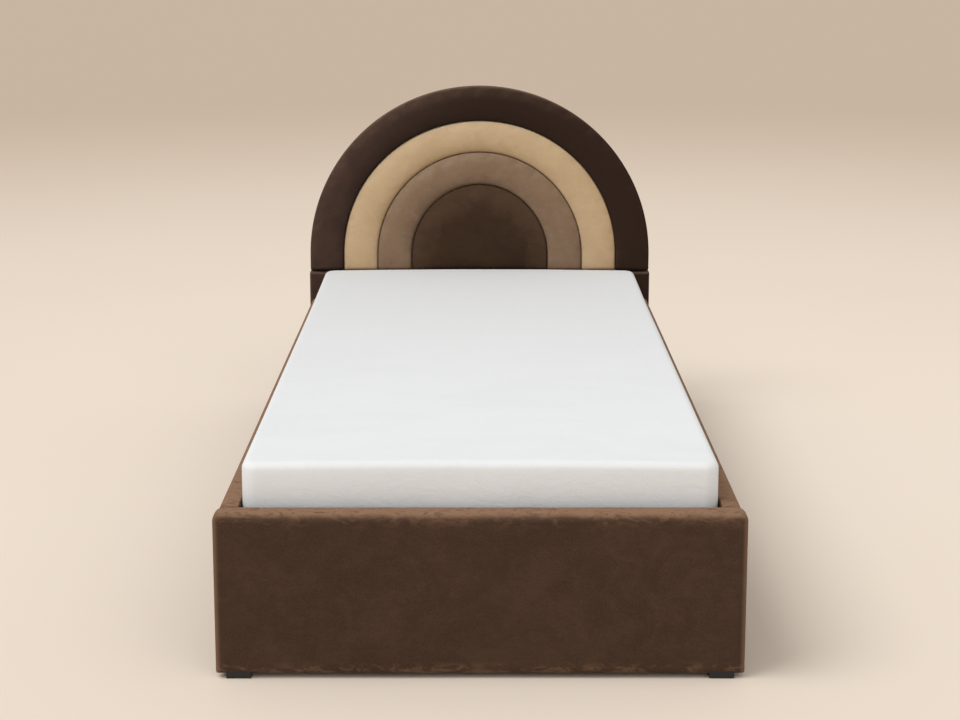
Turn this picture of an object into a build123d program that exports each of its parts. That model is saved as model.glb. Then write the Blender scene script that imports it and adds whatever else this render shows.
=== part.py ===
"""Ottoman storage bed with an arched headboard, in millimetres.

+Z is up, +Y is the head end, +X is the right side seen from the foot. The origin is on the floor,
in the middle of the bed's length and width. Along the bed, a station is the distance from the
headboard's front face towards the foot.
"""
import os
from math import cos, hypot, radians, sin, sqrt

from build123d import *

# Mattress, which the whole bed is built around
mattress_width = 900
mattress_length = 2000
mattress_thickness = 175
mattress_crown = 6
mattress_edge_radius = 20
mattress_under_radius = 10
mattress_corner_radius = 32
sheet_thickness = 0.8
sheet_hem_width = 80
soft_gap = 0.3

# Gaps round the mattress
side_gap = 5
head_gap = 10
foot_gap = 16

# Upholstered walls: timber core, foam and velvet outside, thin fabric inside
wall_height = 309
foot_height = 15
wall_board = 22
wall_outer_pad = 20
wall_inner_wrap = 3
wall_top_pad = 12
wall_under_wrap = 2
wall_side_pad = 10
wall_round = 14
wall_corner_round = 18
wall_face_round = 12
wall_inner_round = 2.5
rail_wrap_depth = 104
rail_inset = 7

# Headboard
head_board = 18
head_pad = 32
head_panel_height = 385
head_edge_round = 8
head_seam_round = 6
arch_leg = 50
arch_side_inset = 2
arch_wrap = 8
band_width_share = 0.2
band_crown = 9
centre_crown = 15
band_gap = 0.3
back_cloth = 1
back_cloth_inset = 4
head_batten_width = 70
head_batten_depth = 20
head_batten_place = 295
head_batten_height = 690
head_bolt_end = 105
head_bolt_recess = 5
head_bolt_stop = 3

# Feet
foot_width = 47
foot_inset = 21
foot_depth = 40
foot_chamfer = 2

# Storage floor
floor_board = 5
floor_batten_width = 25
floor_batten_height = 15
floor_bearer_width = 60
floor_side_gap = 1
floor_split_gap = 1

# Corner brackets and fasteners
bracket_thickness = 3
bracket_leg = 46
bracket_low = 45
bracket_height = 105
bolt_radius = 4
bolt_head_radius = 7
bolt_head_height = 4
bolt_slack = 0.05
bolt_end_distance = 26
hinge_screw_stop = 4

# Slatted platform
tube_width = 30
tube_height = 30
tube_wall = 2
tube_side_gap = 33
tube_head_station = 40
tube_foot_inset = 15
slat_count = 13
slat_width = 62
slat_thickness = 8
slat_bow = 5
slat_seat_gap = 0.2
slat_end_gap = 5
holder_length = 34
holder_height = 15
holder_floor = 4
holder_side_wall = 4
slat_end_station = 75
cross_tube_shares = (1 / 3, 2 / 3)

# Rest ledges
ledge_thickness = 22
ledge_head_station = 720
ledge_foot_gap = 20
ledge_overlap = 23
bumper_thickness = 3
bumper_radius = 10
bumper_end_distance = 70

# Lift mechanism, as stations and heights of its pivots
main_pivot_station = 352.9
main_pivot_height = 60
rear_pivot_station = 152.5
rear_pivot_height = 205
front_base_station = 598.7
front_base_height = 90.9
guide_station = 260
guide_height = 203.7
mattress_over_guide = 28.3
rear_arm_swing = 39.7
front_arm_swing = 33.84
platform_tilt = 42
strut_pivot_radius = 215
strut_base_angle = 141.5
strut_horn_angle = 41
plate_thickness = 3
plate_margin = 16
arm_thickness = 4
arm_root_radius = 17
arm_end_radius = 15
horn_end_radius = 13
arm_web_share = 0.42
hanger_margin = 16
arm_gap = 3
head_thickness = 2
pin_radius = 7
pin_shoulder_radius = 9
pin_head_radius = 10
rivet_radius = 6
running_fit = 0.05
end_play = 0.3
guide_clearance = 0.6
guide_end_gap = 0.5
guide_steps = 12

# Gas struts
strut_radius = 8.5
strut_bore_radius = 6.5
strut_eye_radius = 10
strut_eye_width = 10
strut_pin_radius = 5
strut_pin_head_radius = 8
strut_plane_gap = 10
strut_rod_show = 34.602
strut_closed = 2 * strut_pivot_radius * sin(radians((strut_base_angle - strut_horn_angle) / 2))
strut_length = strut_closed - strut_rod_show
strut_neck_radius = 5
strut_neck_start = 9
strut_neck_end = 18
strut_bore_start = 28
strut_gland = 8
rod_radius = 4
rod_start = 7
rod_length = 150
piston_length = 10
piston_gap = 0.1

# Pull strap at the foot
strap_width = 40
strap_thickness = 2
strap_top = 300
strap_gap = 0.5
strap_bend = 7
strap_root_height = 199

# Worked-out sizes
side_span = mattress_width / 2 + side_gap
wall_thickness = wall_board + wall_outer_pad + wall_inner_wrap
half_width = side_span + wall_thickness
rail_outer = half_width - rail_inset
arch_radius = half_width - arch_side_inset
board_inner = side_span + wall_inner_wrap
board_outer = board_inner + wall_board
wall_low = foot_height
wall_top = wall_low + wall_height
board_low = wall_low + wall_under_wrap
board_top = wall_top - wall_top_pad
inner_length = head_gap + mattress_length + foot_gap
head_depth = head_pad + head_board
total_length = wall_thickness + inner_length + head_depth + back_cloth + head_batten_depth
foot_front = -total_length / 2
foot_inner = foot_front + wall_thickness
head_face = foot_inner + inner_length
head_board_face = head_face + head_pad
head_board_back = head_board_face + head_board
cloth_back = head_board_back + back_cloth
head_back = cloth_back + head_batten_depth
head_seam = wall_low + head_panel_height
arch_centre = head_seam + arch_leg
wrap_low = wall_top - rail_wrap_depth
floor_low = board_low + floor_batten_height
floor_top = floor_low + floor_board

tube_foot_station = head_gap + mattress_length - tube_foot_inset
tube_outer = mattress_width / 2 - tube_side_gap
tube_inner = tube_outer - tube_width
hanger_outer = tube_outer + plate_thickness
front_arm_inner = hanger_outer + arm_gap
front_arm_outer = front_arm_inner + arm_thickness
rear_arm_inner = front_arm_outer + arm_gap
rear_arm_outer = rear_arm_inner + arm_thickness
hinge_plate_inner = board_inner - plate_thickness
strut_plane = hinge_plate_inner - strut_plane_gap
eye_inner = strut_plane - strut_eye_width / 2
eye_outer = strut_plane + strut_eye_width / 2

mattress_low = guide_height + mattress_over_guide
tube_top = mattress_low - slat_seat_gap - slat_bow - slat_thickness - slat_seat_gap - holder_floor
tube_low = tube_top - tube_height
ledge_top = tube_low - bumper_thickness

sides = {"left": -1, "right": 1}


def station(distance):
    """The Y place of a distance from the headboard's face."""
    return head_face - distance


def side_plane(side, inner):
    """The upright lengthwise plane at a distance from the middle, facing outwards."""
    return Plane(origin=(side * inner, 0, 0), x_dir=(0, side, 0), z_dir=(side, 0, 0))


def on_side(side, distance, height):
    """A station and height as a point in a side plane."""
    return (side * station(distance), height)


def front_plane(place):
    """The upright crosswise plane at a Y place, facing the foot."""
    return Plane.XZ.offset(-place)


def block(x_span, y_span, z_span):
    """A plain bar between two places on each axis."""
    with BuildPart() as bar:
        with BuildSketch(Plane.XY.offset(z_span[0])):
            with Locations((sum(x_span) / 2, sum(y_span) / 2)):
                Rectangle(x_span[1] - x_span[0], y_span[1] - y_span[0])
        extrude(amount=z_span[1] - z_span[0])
    return bar.part


def across(side, inner, outer):
    """Two distances from the middle, as low and high X on one side."""
    return tuple(sorted((side * inner, side * outer)))


def keep(solid, name):
    """Name a finished piece and write it."""
    solid.label = name
    export_step(solid, f"parts/{name}.step")


def fastener(origin, direction, length, head_radius, head_height, slack=0):
    """A bolt whose head stands on the surface at origin and whose shank goes in along direction."""
    with BuildPart() as bolt:
        with BuildSketch(Plane(origin=origin, z_dir=direction)):
            Circle(bolt_radius + slack)
        extrude(amount=length)
        with BuildSketch(Plane(origin=origin, z_dir=direction)):
            RegularPolygon(head_radius + slack, 6)
        extrude(amount=-head_height)
    return bolt.part


def countersunk(origin, direction, length, slack=0):
    """A flush screw: a cone as deep as the plate, then the shank."""
    with BuildPart() as screw:
        with BuildSketch(Plane(origin=origin, z_dir=direction)):
            Circle(bolt_radius + plate_thickness + slack)
        extrude(amount=plate_thickness, taper=45)
        with BuildSketch(Plane(origin=origin, z_dir=direction)):
            Circle(bolt_radius + slack)
        extrude(amount=length)
    return screw.part


def group(solids):
    """Separate like pieces that share one node."""
    return Compound(children=list(solids))


# Places of the fasteners
def corner_bolts(slack=0):
    """Bolts of the four corner brackets, two in each leg."""
    heights = (bracket_low + bolt_end_distance, bracket_low + bracket_height - bolt_end_distance)
    bolts = []
    ends = (
        (-1, foot_inner, foot_inner, wall_inner_wrap + wall_board),
        (1, head_face, head_board_face, head_board),
    )
    for side in sides.values():
        for end, rail_end, wall_face, depth in ends:
            for height in heights:
                rail_place = (side * hinge_plate_inner, rail_end - end * bolt_end_distance, height)
                bolts.append(fastener(rail_place, (side, 0, 0), bracket_thickness + wall_board,
                                      bolt_head_radius, bolt_head_height, slack))
                wall_place = (side * (board_inner - bolt_end_distance), wall_face - end * bracket_thickness,
                              height)
                bolts.append(fastener(wall_place, (0, end, 0), bracket_thickness + depth,
                                      bolt_head_radius, bolt_head_height, slack))
    return bolts


def head_batten_bolts(slack=0):
    """Bolts through the battens and the back cloth into the headboard's boards."""
    low = wall_low + head_bolt_end
    lift = (head_batten_height - 2 * head_bolt_end) / 3
    return [
        fastener((side * head_batten_place, head_back - head_bolt_recess, low + row * lift), (0, -1, 0),
                 head_batten_depth - head_bolt_recess + back_cloth + head_board - head_bolt_stop,
                 bolt_head_radius, head_bolt_recess, slack)
        for side in sides.values() for row in range(4)
    ]


def hinge_screws(side, slack=0):
    """Flush screws of one hinge plate, set clear of the pivots."""
    base = Vector(main_pivot_station, main_pivot_height)
    front = Vector(front_base_station, front_base_height)
    rear = Vector(*strut_base())
    spots = (
        base + (front - base) * 0.28,
        base + (front - base) * 0.72,
        base + (rear - base) * 0.36,
        base + (rear - base) * 0.72,
        rear + (front - rear) * 0.42,
    )
    return [
        countersunk((side * hinge_plate_inner, station(spot.X), spot.Y), (side, 0, 0),
                    plate_thickness + wall_board - hinge_screw_stop, slack)
        for spot in spots
    ]


# Geometry of the lift
def about_main(radius, angle):
    """A station and height at a radius and an angle from the main pivot."""
    return (
        main_pivot_station + radius * cos(radians(angle)),
        main_pivot_height + radius * sin(radians(angle)),
    )


def strut_base():
    return about_main(strut_pivot_radius, strut_base_angle)


def strut_horn():
    return about_main(strut_pivot_radius, strut_horn_angle)


def turned(vector, angle):
    """A station and height offset, turned from the foot direction towards up."""
    turn = radians(angle)
    return (
        vector[0] * cos(turn) - vector[1] * sin(turn),
        vector[0] * sin(turn) + vector[1] * cos(turn),
    )


def guide_path():
    """Where the front arm's pin stands in the platform's own frame over the lift."""
    arm = (rear_pivot_station - main_pivot_station, rear_pivot_height - main_pivot_height)
    link = (guide_station - front_base_station, guide_height - front_base_height)
    path = []
    for step in range(guide_steps + 1):
        share = step / guide_steps
        rear = turned(arm, -rear_arm_swing * share)
        pin = turned(link, -front_arm_swing * share)
        gap = (
            front_base_station + pin[0] - main_pivot_station - rear[0],
            front_base_height + pin[1] - main_pivot_height - rear[1],
        )
        local = turned(gap, -platform_tilt * share)
        path.append((rear_pivot_station + local[0], rear_pivot_height + local[1]))
    return path


# Walls of the base
def rail_board(side):
    with BuildPart() as board:
        with BuildSketch(side_plane(side, board_inner)):
            with Locations(((side * (foot_inner + head_face)) / 2, (board_low + board_top) / 2)):
                Rectangle(inner_length, board_top - board_low)
        extrude(amount=wall_board)
        for bolt in corner_bolts(bolt_slack) + hinge_screws(side, bolt_slack):
            add(bolt, mode=Mode.SUBTRACT)
    return board.part


def rail_cover(side):
    """Foam and velvet outside, over the top and under, and thin fabric at the top inside."""
    outline = (
        (rail_outer, wall_low), (rail_outer, wall_top), (side_span, wall_top), (side_span, wrap_low),
        (board_inner, wrap_low), (board_inner, board_top), (board_outer, board_top),
        (board_outer, board_low), (board_inner, board_low), (board_inner, wall_low),
    )
    with BuildPart() as cover:
        with BuildSketch(front_plane(head_face)):
            with BuildLine():
                Polyline([(side * across_place, height) for across_place, height in outline], close=True)
            make_face()
        extrude(amount=inner_length)
        top_edges = cover.edges().filter_by(Axis.Y).group_by(Axis.Z)[-1]
        ordered = sorted(top_edges, key=lambda edge: abs(edge.center().X))
        fillet(ordered[-1], radius=wall_round)
        inner_top = cover.edges().filter_by(Axis.Y).group_by(Axis.Z)[-1]
        fillet(sorted(inner_top, key=lambda edge: abs(edge.center().X))[0], radius=wall_inner_round)
    return cover.part


def foot_panel_board():
    with BuildPart() as board:
        with BuildSketch(front_plane(foot_inner - wall_inner_wrap)):
            with Locations((0, (board_low + board_top) / 2)):
                Rectangle(2 * (half_width - wall_side_pad), board_top - board_low)
        extrude(amount=wall_board)
        for bolt in corner_bolts(bolt_slack):
            add(bolt, mode=Mode.SUBTRACT)
    return board.part


def foot_panel_cover():
    """Velvet over foam on the foot panel, with softly rounded top corners."""
    with BuildPart() as cover:
        with BuildSketch(front_plane(foot_inner)):
            with Locations((0, (wall_low + wall_top) / 2)):
                Rectangle(2 * half_width, wall_height)
        extrude(amount=wall_thickness)
        fillet(cover.edges().filter_by(Axis.Y).group_by(Axis.Z)[-1], radius=wall_corner_round)
        front_edges = cover.faces().sort_by(Axis.Y)[0].edges()
        fillet(front_edges.sort_by(Axis.Z)[1:], radius=wall_face_round)
        with BuildSketch(front_plane(foot_inner - wall_inner_wrap)):
            with Locations((0, (board_low + board_top) / 2)):
                Rectangle(2 * (half_width - wall_side_pad), board_top - board_low)
        extrude(amount=wall_board, mode=Mode.SUBTRACT)
        for bolt in corner_bolts(bolt_slack):
            add(bolt, mode=Mode.SUBTRACT)
    return cover.part


# Headboard
def head_panel_board():
    with BuildPart() as board:
        with BuildSketch(front_plane(head_board_back)):
            with Locations((0, (board_low + head_seam) / 2)):
                Rectangle(2 * (half_width - wall_side_pad), head_seam - board_low)
        extrude(amount=head_board)
        for bolt in corner_bolts(bolt_slack) + head_batten_bolts(bolt_slack):
            add(bolt, mode=Mode.SUBTRACT)
    return board.part


def head_panel_cover():
    """Padded lower panel: full width, open where the rails' brackets reach its board."""
    with BuildPart() as cover:
        with BuildSketch(front_plane(head_board_back)):
            with Locations((0, (wall_low + head_seam - band_gap) / 2)):
                Rectangle(2 * half_width, head_panel_height - band_gap)
        extrude(amount=head_depth)
        fillet(cover.edges().filter_by(Axis.Z).group_by(Axis.Y)[0], radius=head_edge_round)
        fillet(cover.faces().sort_by(Axis.Y)[0].edges().sort_by(Axis.Z)[-1], radius=head_seam_round)
        with BuildSketch(front_plane(head_board_back)):
            with Locations((0, (board_low + head_seam) / 2)):
                Rectangle(2 * (half_width - wall_side_pad), head_seam - board_low)
        extrude(amount=head_board, mode=Mode.SUBTRACT)
        with BuildSketch(front_plane(head_board_face)):
            with Locations((0, (board_low + wrap_low) / 2)):
                Rectangle(2 * board_inner, wrap_low - board_low)
        extrude(amount=head_pad, mode=Mode.SUBTRACT)
    return cover.part


def arch_face(radius, low):
    """An upright sheet outline with straight legs and a half-round top."""
    with BuildLine() as outline:
        Polyline([(-radius, arch_centre), (-radius, low), (radius, low), (radius, arch_centre)])
        ThreePointArc((radius, arch_centre), (0, arch_centre + radius), (-radius, arch_centre))
    return outline.wires()[0]


def arch_board():
    with BuildPart() as board:
        with BuildSketch(front_plane(head_board_back)):
            make_face(arch_face(arch_radius - arch_wrap, head_seam))
        extrude(amount=head_board)
        for bolt in head_batten_bolts(bolt_slack):
            add(bolt, mode=Mode.SUBTRACT)
    return board.part


def back_cloth_sheet():
    with BuildPart() as cloth:
        with BuildSketch(front_plane(cloth_back)):
            make_face(arch_face(arch_radius - back_cloth_inset, wall_low + back_cloth_inset))
        extrude(amount=back_cloth)
        for bolt in head_batten_bolts(bolt_slack):
            add(bolt, mode=Mode.SUBTRACT)
    return cloth.part


def band_section(inner, outer, wrapped):
    """Crowned section of one arch band, as radius and Y place; the outer band goes round the board's edge."""
    edge = head_face + band_crown
    middle = (inner + outer) / 2
    with BuildLine() as section:
        ThreePointArc((inner, edge), (middle, head_face), (outer, edge))
        if wrapped:
            board_edge = outer - arch_wrap + band_gap
            Polyline([(outer, edge), (outer, head_board_back), (board_edge, head_board_back),
                      (board_edge, head_board_face), (inner, head_board_face), (inner, edge)])
        else:
            Polyline([(outer, edge), (outer, head_board_face), (inner, head_board_face), (inner, edge)])
    return section.wires()[0]


def arch_band(inner, outer, wrapped=False):
    """A padded band: the section turned half a circle over the top, and run down both legs."""
    with BuildPart() as band:
        with BuildSketch(Plane.XY.offset(arch_centre)):
            make_face(band_section(inner, outer, wrapped))
        revolve(axis=Axis((0, 0, arch_centre), (0, -1, 0)), revolution_arc=180)
        with BuildSketch(Plane.XY.offset(arch_centre)) as legs:
            make_face(band_section(inner, outer, wrapped))
            mirror(about=Plane.YZ)
        extrude(legs.sketch, amount=-arch_leg)
    return band.part


def crown_depth(across_place, half, crown):
    """How far a crowned face falls back at a distance from its middle."""
    curve = (half ** 2 + crown ** 2) / (2 * crown)
    return curve - sqrt(curve ** 2 - across_place ** 2)


def arch_centre_pad(half):
    """The middle panel: one shallow dome over straight legs."""
    middle = half / 2
    bend = head_face + crown_depth(middle, half, centre_crown)
    edge = head_face + centre_crown
    with BuildPart() as pad:
        with BuildSketch(Plane.XY.offset(arch_centre)):
            with BuildLine():
                ThreePointArc((0, head_face), (middle, bend), (half, edge))
                Polyline([(half, edge), (half, head_board_face), (0, head_board_face), (0, head_face)])
            make_face()
        revolve(axis=Axis((0, 0, arch_centre), (0, -1, 0)), revolution_arc=180)
        with BuildSketch(Plane.XY.offset(arch_centre)) as leg:
            with BuildLine():
                ThreePointArc((-half, edge), (0, head_face), (half, edge))
                Polyline([(half, edge), (half, head_board_face), (-half, head_board_face), (-half, edge)])
            make_face()
        extrude(leg.sketch, amount=-arch_leg)
    return pad.part


def head_batten(side):
    half = head_batten_width / 2
    with BuildPart() as batten:
        add(block(across(side, head_batten_place - half, head_batten_place + half),
                  (cloth_back, head_back), (wall_low, wall_low + head_batten_height)))
        for bolt in head_batten_bolts(bolt_slack):
            add(bolt, mode=Mode.SUBTRACT)
    return batten.part


# Feet, floor, brackets and ledges
def glide_foot(x_span, y_span):
    with BuildPart() as foot:
        add(block(x_span, y_span, (0, foot_height)))
        chamfer(foot.faces().sort_by(Axis.Z)[0].edges(), length=foot_chamfer)
    return foot.part


def glide_feet():
    feet = []
    for side in sides.values():
        corner = across(side, half_width - foot_inset - foot_width, half_width - foot_inset)
        under_rail = across(side, side_span + wall_inner_wrap, rail_outer - wall_under_wrap)
        foot_end = foot_front + (wall_thickness - foot_depth) / 2
        head_end = head_board_back - (head_depth + foot_depth) / 2
        feet.append(glide_foot(corner, (foot_end, foot_end + foot_depth)))
        feet.append(glide_foot(corner, (head_end, head_end + foot_depth)))
        feet.append(glide_foot(under_rail, (station(inner_length / 2) - foot_width / 2,
                                            station(inner_length / 2) + foot_width / 2)))
    return group(feet)


def floor_batten(side):
    return block(across(side, board_inner - floor_batten_width, board_inner),
                 (foot_inner, head_face), (board_low, floor_low))


def floor_bearer():
    return block((-floor_bearer_width / 2, floor_bearer_width / 2),
                 (foot_inner, head_board_face), (board_low, floor_low))


def floor_panel(near, far):
    width = board_inner - floor_side_gap
    return block((-width, width), (station(far), station(near)), (floor_low, floor_top))


def corner_bracket(side, end):
    """Steel angle that ties a rail's board to the foot panel or to the headboard's board."""
    wall_face = foot_inner if end < 0 else head_board_face
    rail_end = foot_inner if end < 0 else head_face
    rail_leg = abs(wall_face - rail_end) + bracket_leg
    corner = (side * board_inner, wall_face)
    with BuildPart() as bracket:
        with BuildSketch(Plane.XY.offset(bracket_low)):
            with BuildLine():
                Polyline([
                    corner,
                    (corner[0], wall_face - end * rail_leg),
                    (corner[0] - side * bracket_thickness, wall_face - end * rail_leg),
                    (corner[0] - side * bracket_thickness, wall_face - end * bracket_thickness),
                    (corner[0] - side * bracket_leg, wall_face - end * bracket_thickness),
                    (corner[0] - side * bracket_leg, wall_face),
                ], close=True)
            make_face()
        extrude(amount=bracket_height)
        for bolt in corner_bolts(bolt_slack):
            add(bolt, mode=Mode.SUBTRACT)
    return bracket.part


def rest_ledge(side):
    return block(across(side, tube_outer - ledge_overlap, board_inner),
                 (foot_inner + ledge_foot_gap, station(ledge_head_station)),
                 (ledge_top - ledge_thickness, ledge_top))


def rest_bumpers():
    pads = []
    places = (
        station(ledge_head_station) - bumper_end_distance,
        foot_inner + ledge_foot_gap + bumper_end_distance,
    )
    for side in sides.values():
        for place in places:
            with BuildPart() as pad:
                with BuildSketch(Plane.XY.offset(ledge_top)):
                    with Locations((side * (tube_outer - ledge_overlap / 2), place)):
                        Circle(bumper_radius)
                extrude(amount=bumper_thickness)
            pads.append(pad.part)
    return group(pads)


# Slatted platform
def side_tube(side):
    with BuildPart() as tube:
        with BuildSketch(front_plane(station(tube_head_station))):
            with Locations((side * (tube_inner + tube_outer) / 2, tube_low + tube_height / 2)):
                Rectangle(tube_width, tube_height)
                Rectangle(tube_width - 2 * tube_wall, tube_height - 2 * tube_wall, mode=Mode.SUBTRACT)
        extrude(amount=tube_foot_station - tube_head_station)
    return tube.part


def cross_tube(near):
    """A square tube between the side tubes, starting at a station."""
    with BuildPart() as tube:
        with BuildSketch(Plane.YZ.offset(-tube_inner)):
            with Locations((station(near + tube_width / 2), tube_low + tube_height / 2)):
                Rectangle(tube_width, tube_height)
                Rectangle(tube_width - 2 * tube_wall, tube_height - 2 * tube_wall, mode=Mode.SUBTRACT)
        extrude(amount=2 * tube_inner)
    return tube.part


def slat_stations():
    first = slat_end_station + slat_width / 2
    last = mattress_length + 2 * head_gap - first
    return [first + (last - first) * count / (slat_count - 1) for count in range(slat_count)]


def slat(middle):
    """A bent beech slat, bowed upwards between its holders."""
    half = tube_outer - slat_end_gap - holder_side_wall
    low = tube_top + holder_floor + slat_seat_gap
    with BuildPart() as strip:
        with BuildSketch(front_plane(station(middle - slat_width / 2))):
            with BuildLine():
                ThreePointArc((-half, low), (0, low + slat_bow), (half, low))
                Line((half, low), (half, low + slat_thickness))
                ThreePointArc((half, low + slat_thickness), (0, low + slat_bow + slat_thickness),
                              (-half, low + slat_thickness))
                Line((-half, low + slat_thickness), (-half, low))
            make_face()
        extrude(amount=slat_width)
    return strip.part


def slat_holder(side, middle):
    """A moulded cap on the side tube, open towards the middle for the slat's end."""
    half = slat_width / 2 + holder_side_wall
    slat_rise = slat_bow * holder_length / tube_outer * 2
    pocket_top = tube_top + holder_floor + slat_thickness + 3 * slat_seat_gap + slat_rise
    with BuildPart() as holder:
        add(block(across(side, tube_outer - holder_length, tube_outer),
                  (station(middle) - half, station(middle) + half), (tube_top, tube_top + holder_height)))
        add(block(across(side, tube_outer - holder_length, tube_outer - holder_side_wall),
                  (station(middle) - half + holder_side_wall - slat_seat_gap,
                   station(middle) + half - holder_side_wall + slat_seat_gap),
                  (tube_top + holder_floor, pocket_top)), mode=Mode.SUBTRACT)
    return holder.part


def hanger_plate(side):
    """Plate on the side tube: it holds the rear arm's pin and has the slot for the front arm's pin."""
    path = guide_path()
    with BuildPart() as plate:
        with BuildSketch(side_plane(side, tube_outer)):
            with Locations(on_side(side, rear_pivot_station, rear_pivot_height)):
                Circle(hanger_margin)
            with Locations([on_side(side, *point) for point in path]):
                Circle(hanger_margin)
            make_hull()
            with Locations(on_side(side, rear_pivot_station, rear_pivot_height)):
                Circle(rivet_radius + running_fit, mode=Mode.SUBTRACT)
        extrude(amount=plate_thickness)
        with BuildSketch(side_plane(side, tube_outer)):
            with Locations([on_side(side, *point) for point in path]):
                Circle(rivet_radius + guide_clearance)
            make_hull()
        extrude(amount=plate_thickness, mode=Mode.SUBTRACT)
    return plate.part


# Lift arms, plates and pins
def limb(side, near, near_radius, far, far_radius):
    """Flat outline with a round end at each of two pivots."""
    with BuildSketch() as outline:
        with Locations(on_side(side, *near)):
            Circle(near_radius)
        with Locations(on_side(side, *far)):
            Circle(far_radius)
        make_hull()
    return outline.sketch


def rear_arm(side):
    """Bent arm: one limb carries the platform, the horn is pushed by the gas strut."""
    main = (main_pivot_station, main_pivot_height)
    rear = (rear_pivot_station, rear_pivot_height)
    horn = strut_horn()
    web_rear = tuple(a + (b - a) * arm_web_share for a, b in zip(main, rear))
    web_horn = tuple(a + (b - a) * arm_web_share for a, b in zip(main, horn))
    with BuildPart() as arm:
        with BuildSketch(side_plane(side, rear_arm_inner)):
            add(limb(side, main, arm_root_radius, rear, arm_end_radius))
            add(limb(side, main, arm_root_radius, horn, horn_end_radius))
            add(limb(side, web_rear, arm_end_radius, web_horn, horn_end_radius))
            for pivot, radius in ((main, pin_radius), (rear, pin_radius), (horn, strut_pin_radius)):
                with Locations(on_side(side, *pivot)):
                    Circle(radius + running_fit, mode=Mode.SUBTRACT)
        extrude(amount=arm_thickness)
    return arm.part


def front_arm(side):
    base = (front_base_station, front_base_height)
    guide = (guide_station, guide_height)
    with BuildPart() as arm:
        with BuildSketch(side_plane(side, front_arm_inner)):
            add(limb(side, base, arm_root_radius, guide, arm_end_radius))
            for pivot, radius in ((base, pin_radius), (guide, rivet_radius)):
                with Locations(on_side(side, *pivot)):
                    Circle(radius + running_fit, mode=Mode.SUBTRACT)
        extrude(amount=arm_thickness)
    return arm.part


def hinge_plate(side):
    """Base plate on the rail's board with the three fixed pivots of one side."""
    pivots = ((main_pivot_station, main_pivot_height), (front_base_station, front_base_height), strut_base())
    with BuildPart() as plate:
        with BuildSketch(side_plane(side, hinge_plate_inner)):
            with Locations([on_side(side, *pivot) for pivot in pivots]):
                Circle(plate_margin)
            make_hull()
            with Locations([on_side(side, *pivot) for pivot in pivots]):
                Circle(rivet_radius + running_fit, mode=Mode.SUBTRACT)
        extrude(amount=plate_thickness)
        for screw in hinge_screws(side, bolt_slack):
            add(screw, mode=Mode.SUBTRACT)
    return plate.part


def stepped_pin(side, place, steps):
    """A turned pin along X: steps of inner distance, outer distance and radius."""
    with BuildPart() as pin:
        for inner, outer, radius in steps:
            with BuildSketch(side_plane(side, inner)):
                with Locations(on_side(side, *place)):
                    Circle(radius)
            extrude(amount=outer - inner)
    return pin.part


def base_pins(side):
    """Main pivot, front arm's base pivot and strut's base pivot, riveted in the hinge plate."""
    rivet = (hinge_plate_inner, board_inner, rivet_radius)
    main = stepped_pin(side, (main_pivot_station, main_pivot_height), (
        rivet,
        (rear_arm_outer + end_play, hinge_plate_inner, pin_shoulder_radius),
        (rear_arm_inner - end_play, rear_arm_outer + end_play, pin_radius),
        (rear_arm_inner - head_thickness, rear_arm_inner - end_play, pin_head_radius),
    ))
    front = stepped_pin(side, (front_base_station, front_base_height), (
        rivet,
        (front_arm_outer + end_play, hinge_plate_inner, pin_shoulder_radius),
        (front_arm_inner - end_play, front_arm_outer + end_play, pin_radius),
        (front_arm_inner - head_thickness, front_arm_inner - end_play, pin_head_radius),
    ))
    strut = stepped_pin(side, strut_base(), (
        rivet,
        (eye_outer + end_play, hinge_plate_inner, strut_pin_head_radius),
        (eye_inner - end_play, eye_outer + end_play, strut_pin_radius),
        (eye_inner - head_thickness, eye_inner - end_play, strut_pin_head_radius),
    ))
    return [main, front, strut]


def rear_pin(side):
    """The platform's pin in the rear arm."""
    return stepped_pin(side, (rear_pivot_station, rear_pivot_height), (
        (tube_outer, hanger_outer, rivet_radius),
        (hanger_outer, rear_arm_inner - end_play, pin_shoulder_radius),
        (rear_arm_inner - end_play, rear_arm_outer + end_play, pin_radius),
        (rear_arm_outer + end_play, rear_arm_outer + head_thickness, pin_head_radius),
    ))


def guide_pin(side):
    """The front arm's upper pin, which runs in the hanger plate's slot."""
    return stepped_pin(side, (guide_station, guide_height), (
        (tube_outer + guide_end_gap, hanger_outer + end_play, rivet_radius),
        (hanger_outer + end_play, front_arm_inner, pin_shoulder_radius),
        (front_arm_inner, front_arm_outer, rivet_radius),
        (front_arm_outer, front_arm_outer + head_thickness, pin_shoulder_radius),
    ))


def strut_stud(side):
    """The stud on the rear arm's horn that carries the gas strut's rod."""
    return stepped_pin(side, strut_horn(), (
        (rear_arm_inner - head_thickness, rear_arm_inner, strut_pin_head_radius),
        (rear_arm_inner, rear_arm_outer, strut_pin_radius),
        (rear_arm_outer, eye_inner - end_play, strut_pin_head_radius),
        (eye_inner - end_play, eye_outer + end_play, strut_pin_radius),
        (eye_outer + end_play, eye_outer + head_thickness, strut_pin_head_radius),
    ))


def strut_frame(side):
    """Unit vector from the strut's base pivot to its stud, at rest, in the side view."""
    base, horn = strut_base(), strut_horn()
    reach = hypot(horn[0] - base[0], horn[1] - base[1])
    return ((horn[0] - base[0]) / reach, (horn[1] - base[1]) / reach)


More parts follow.
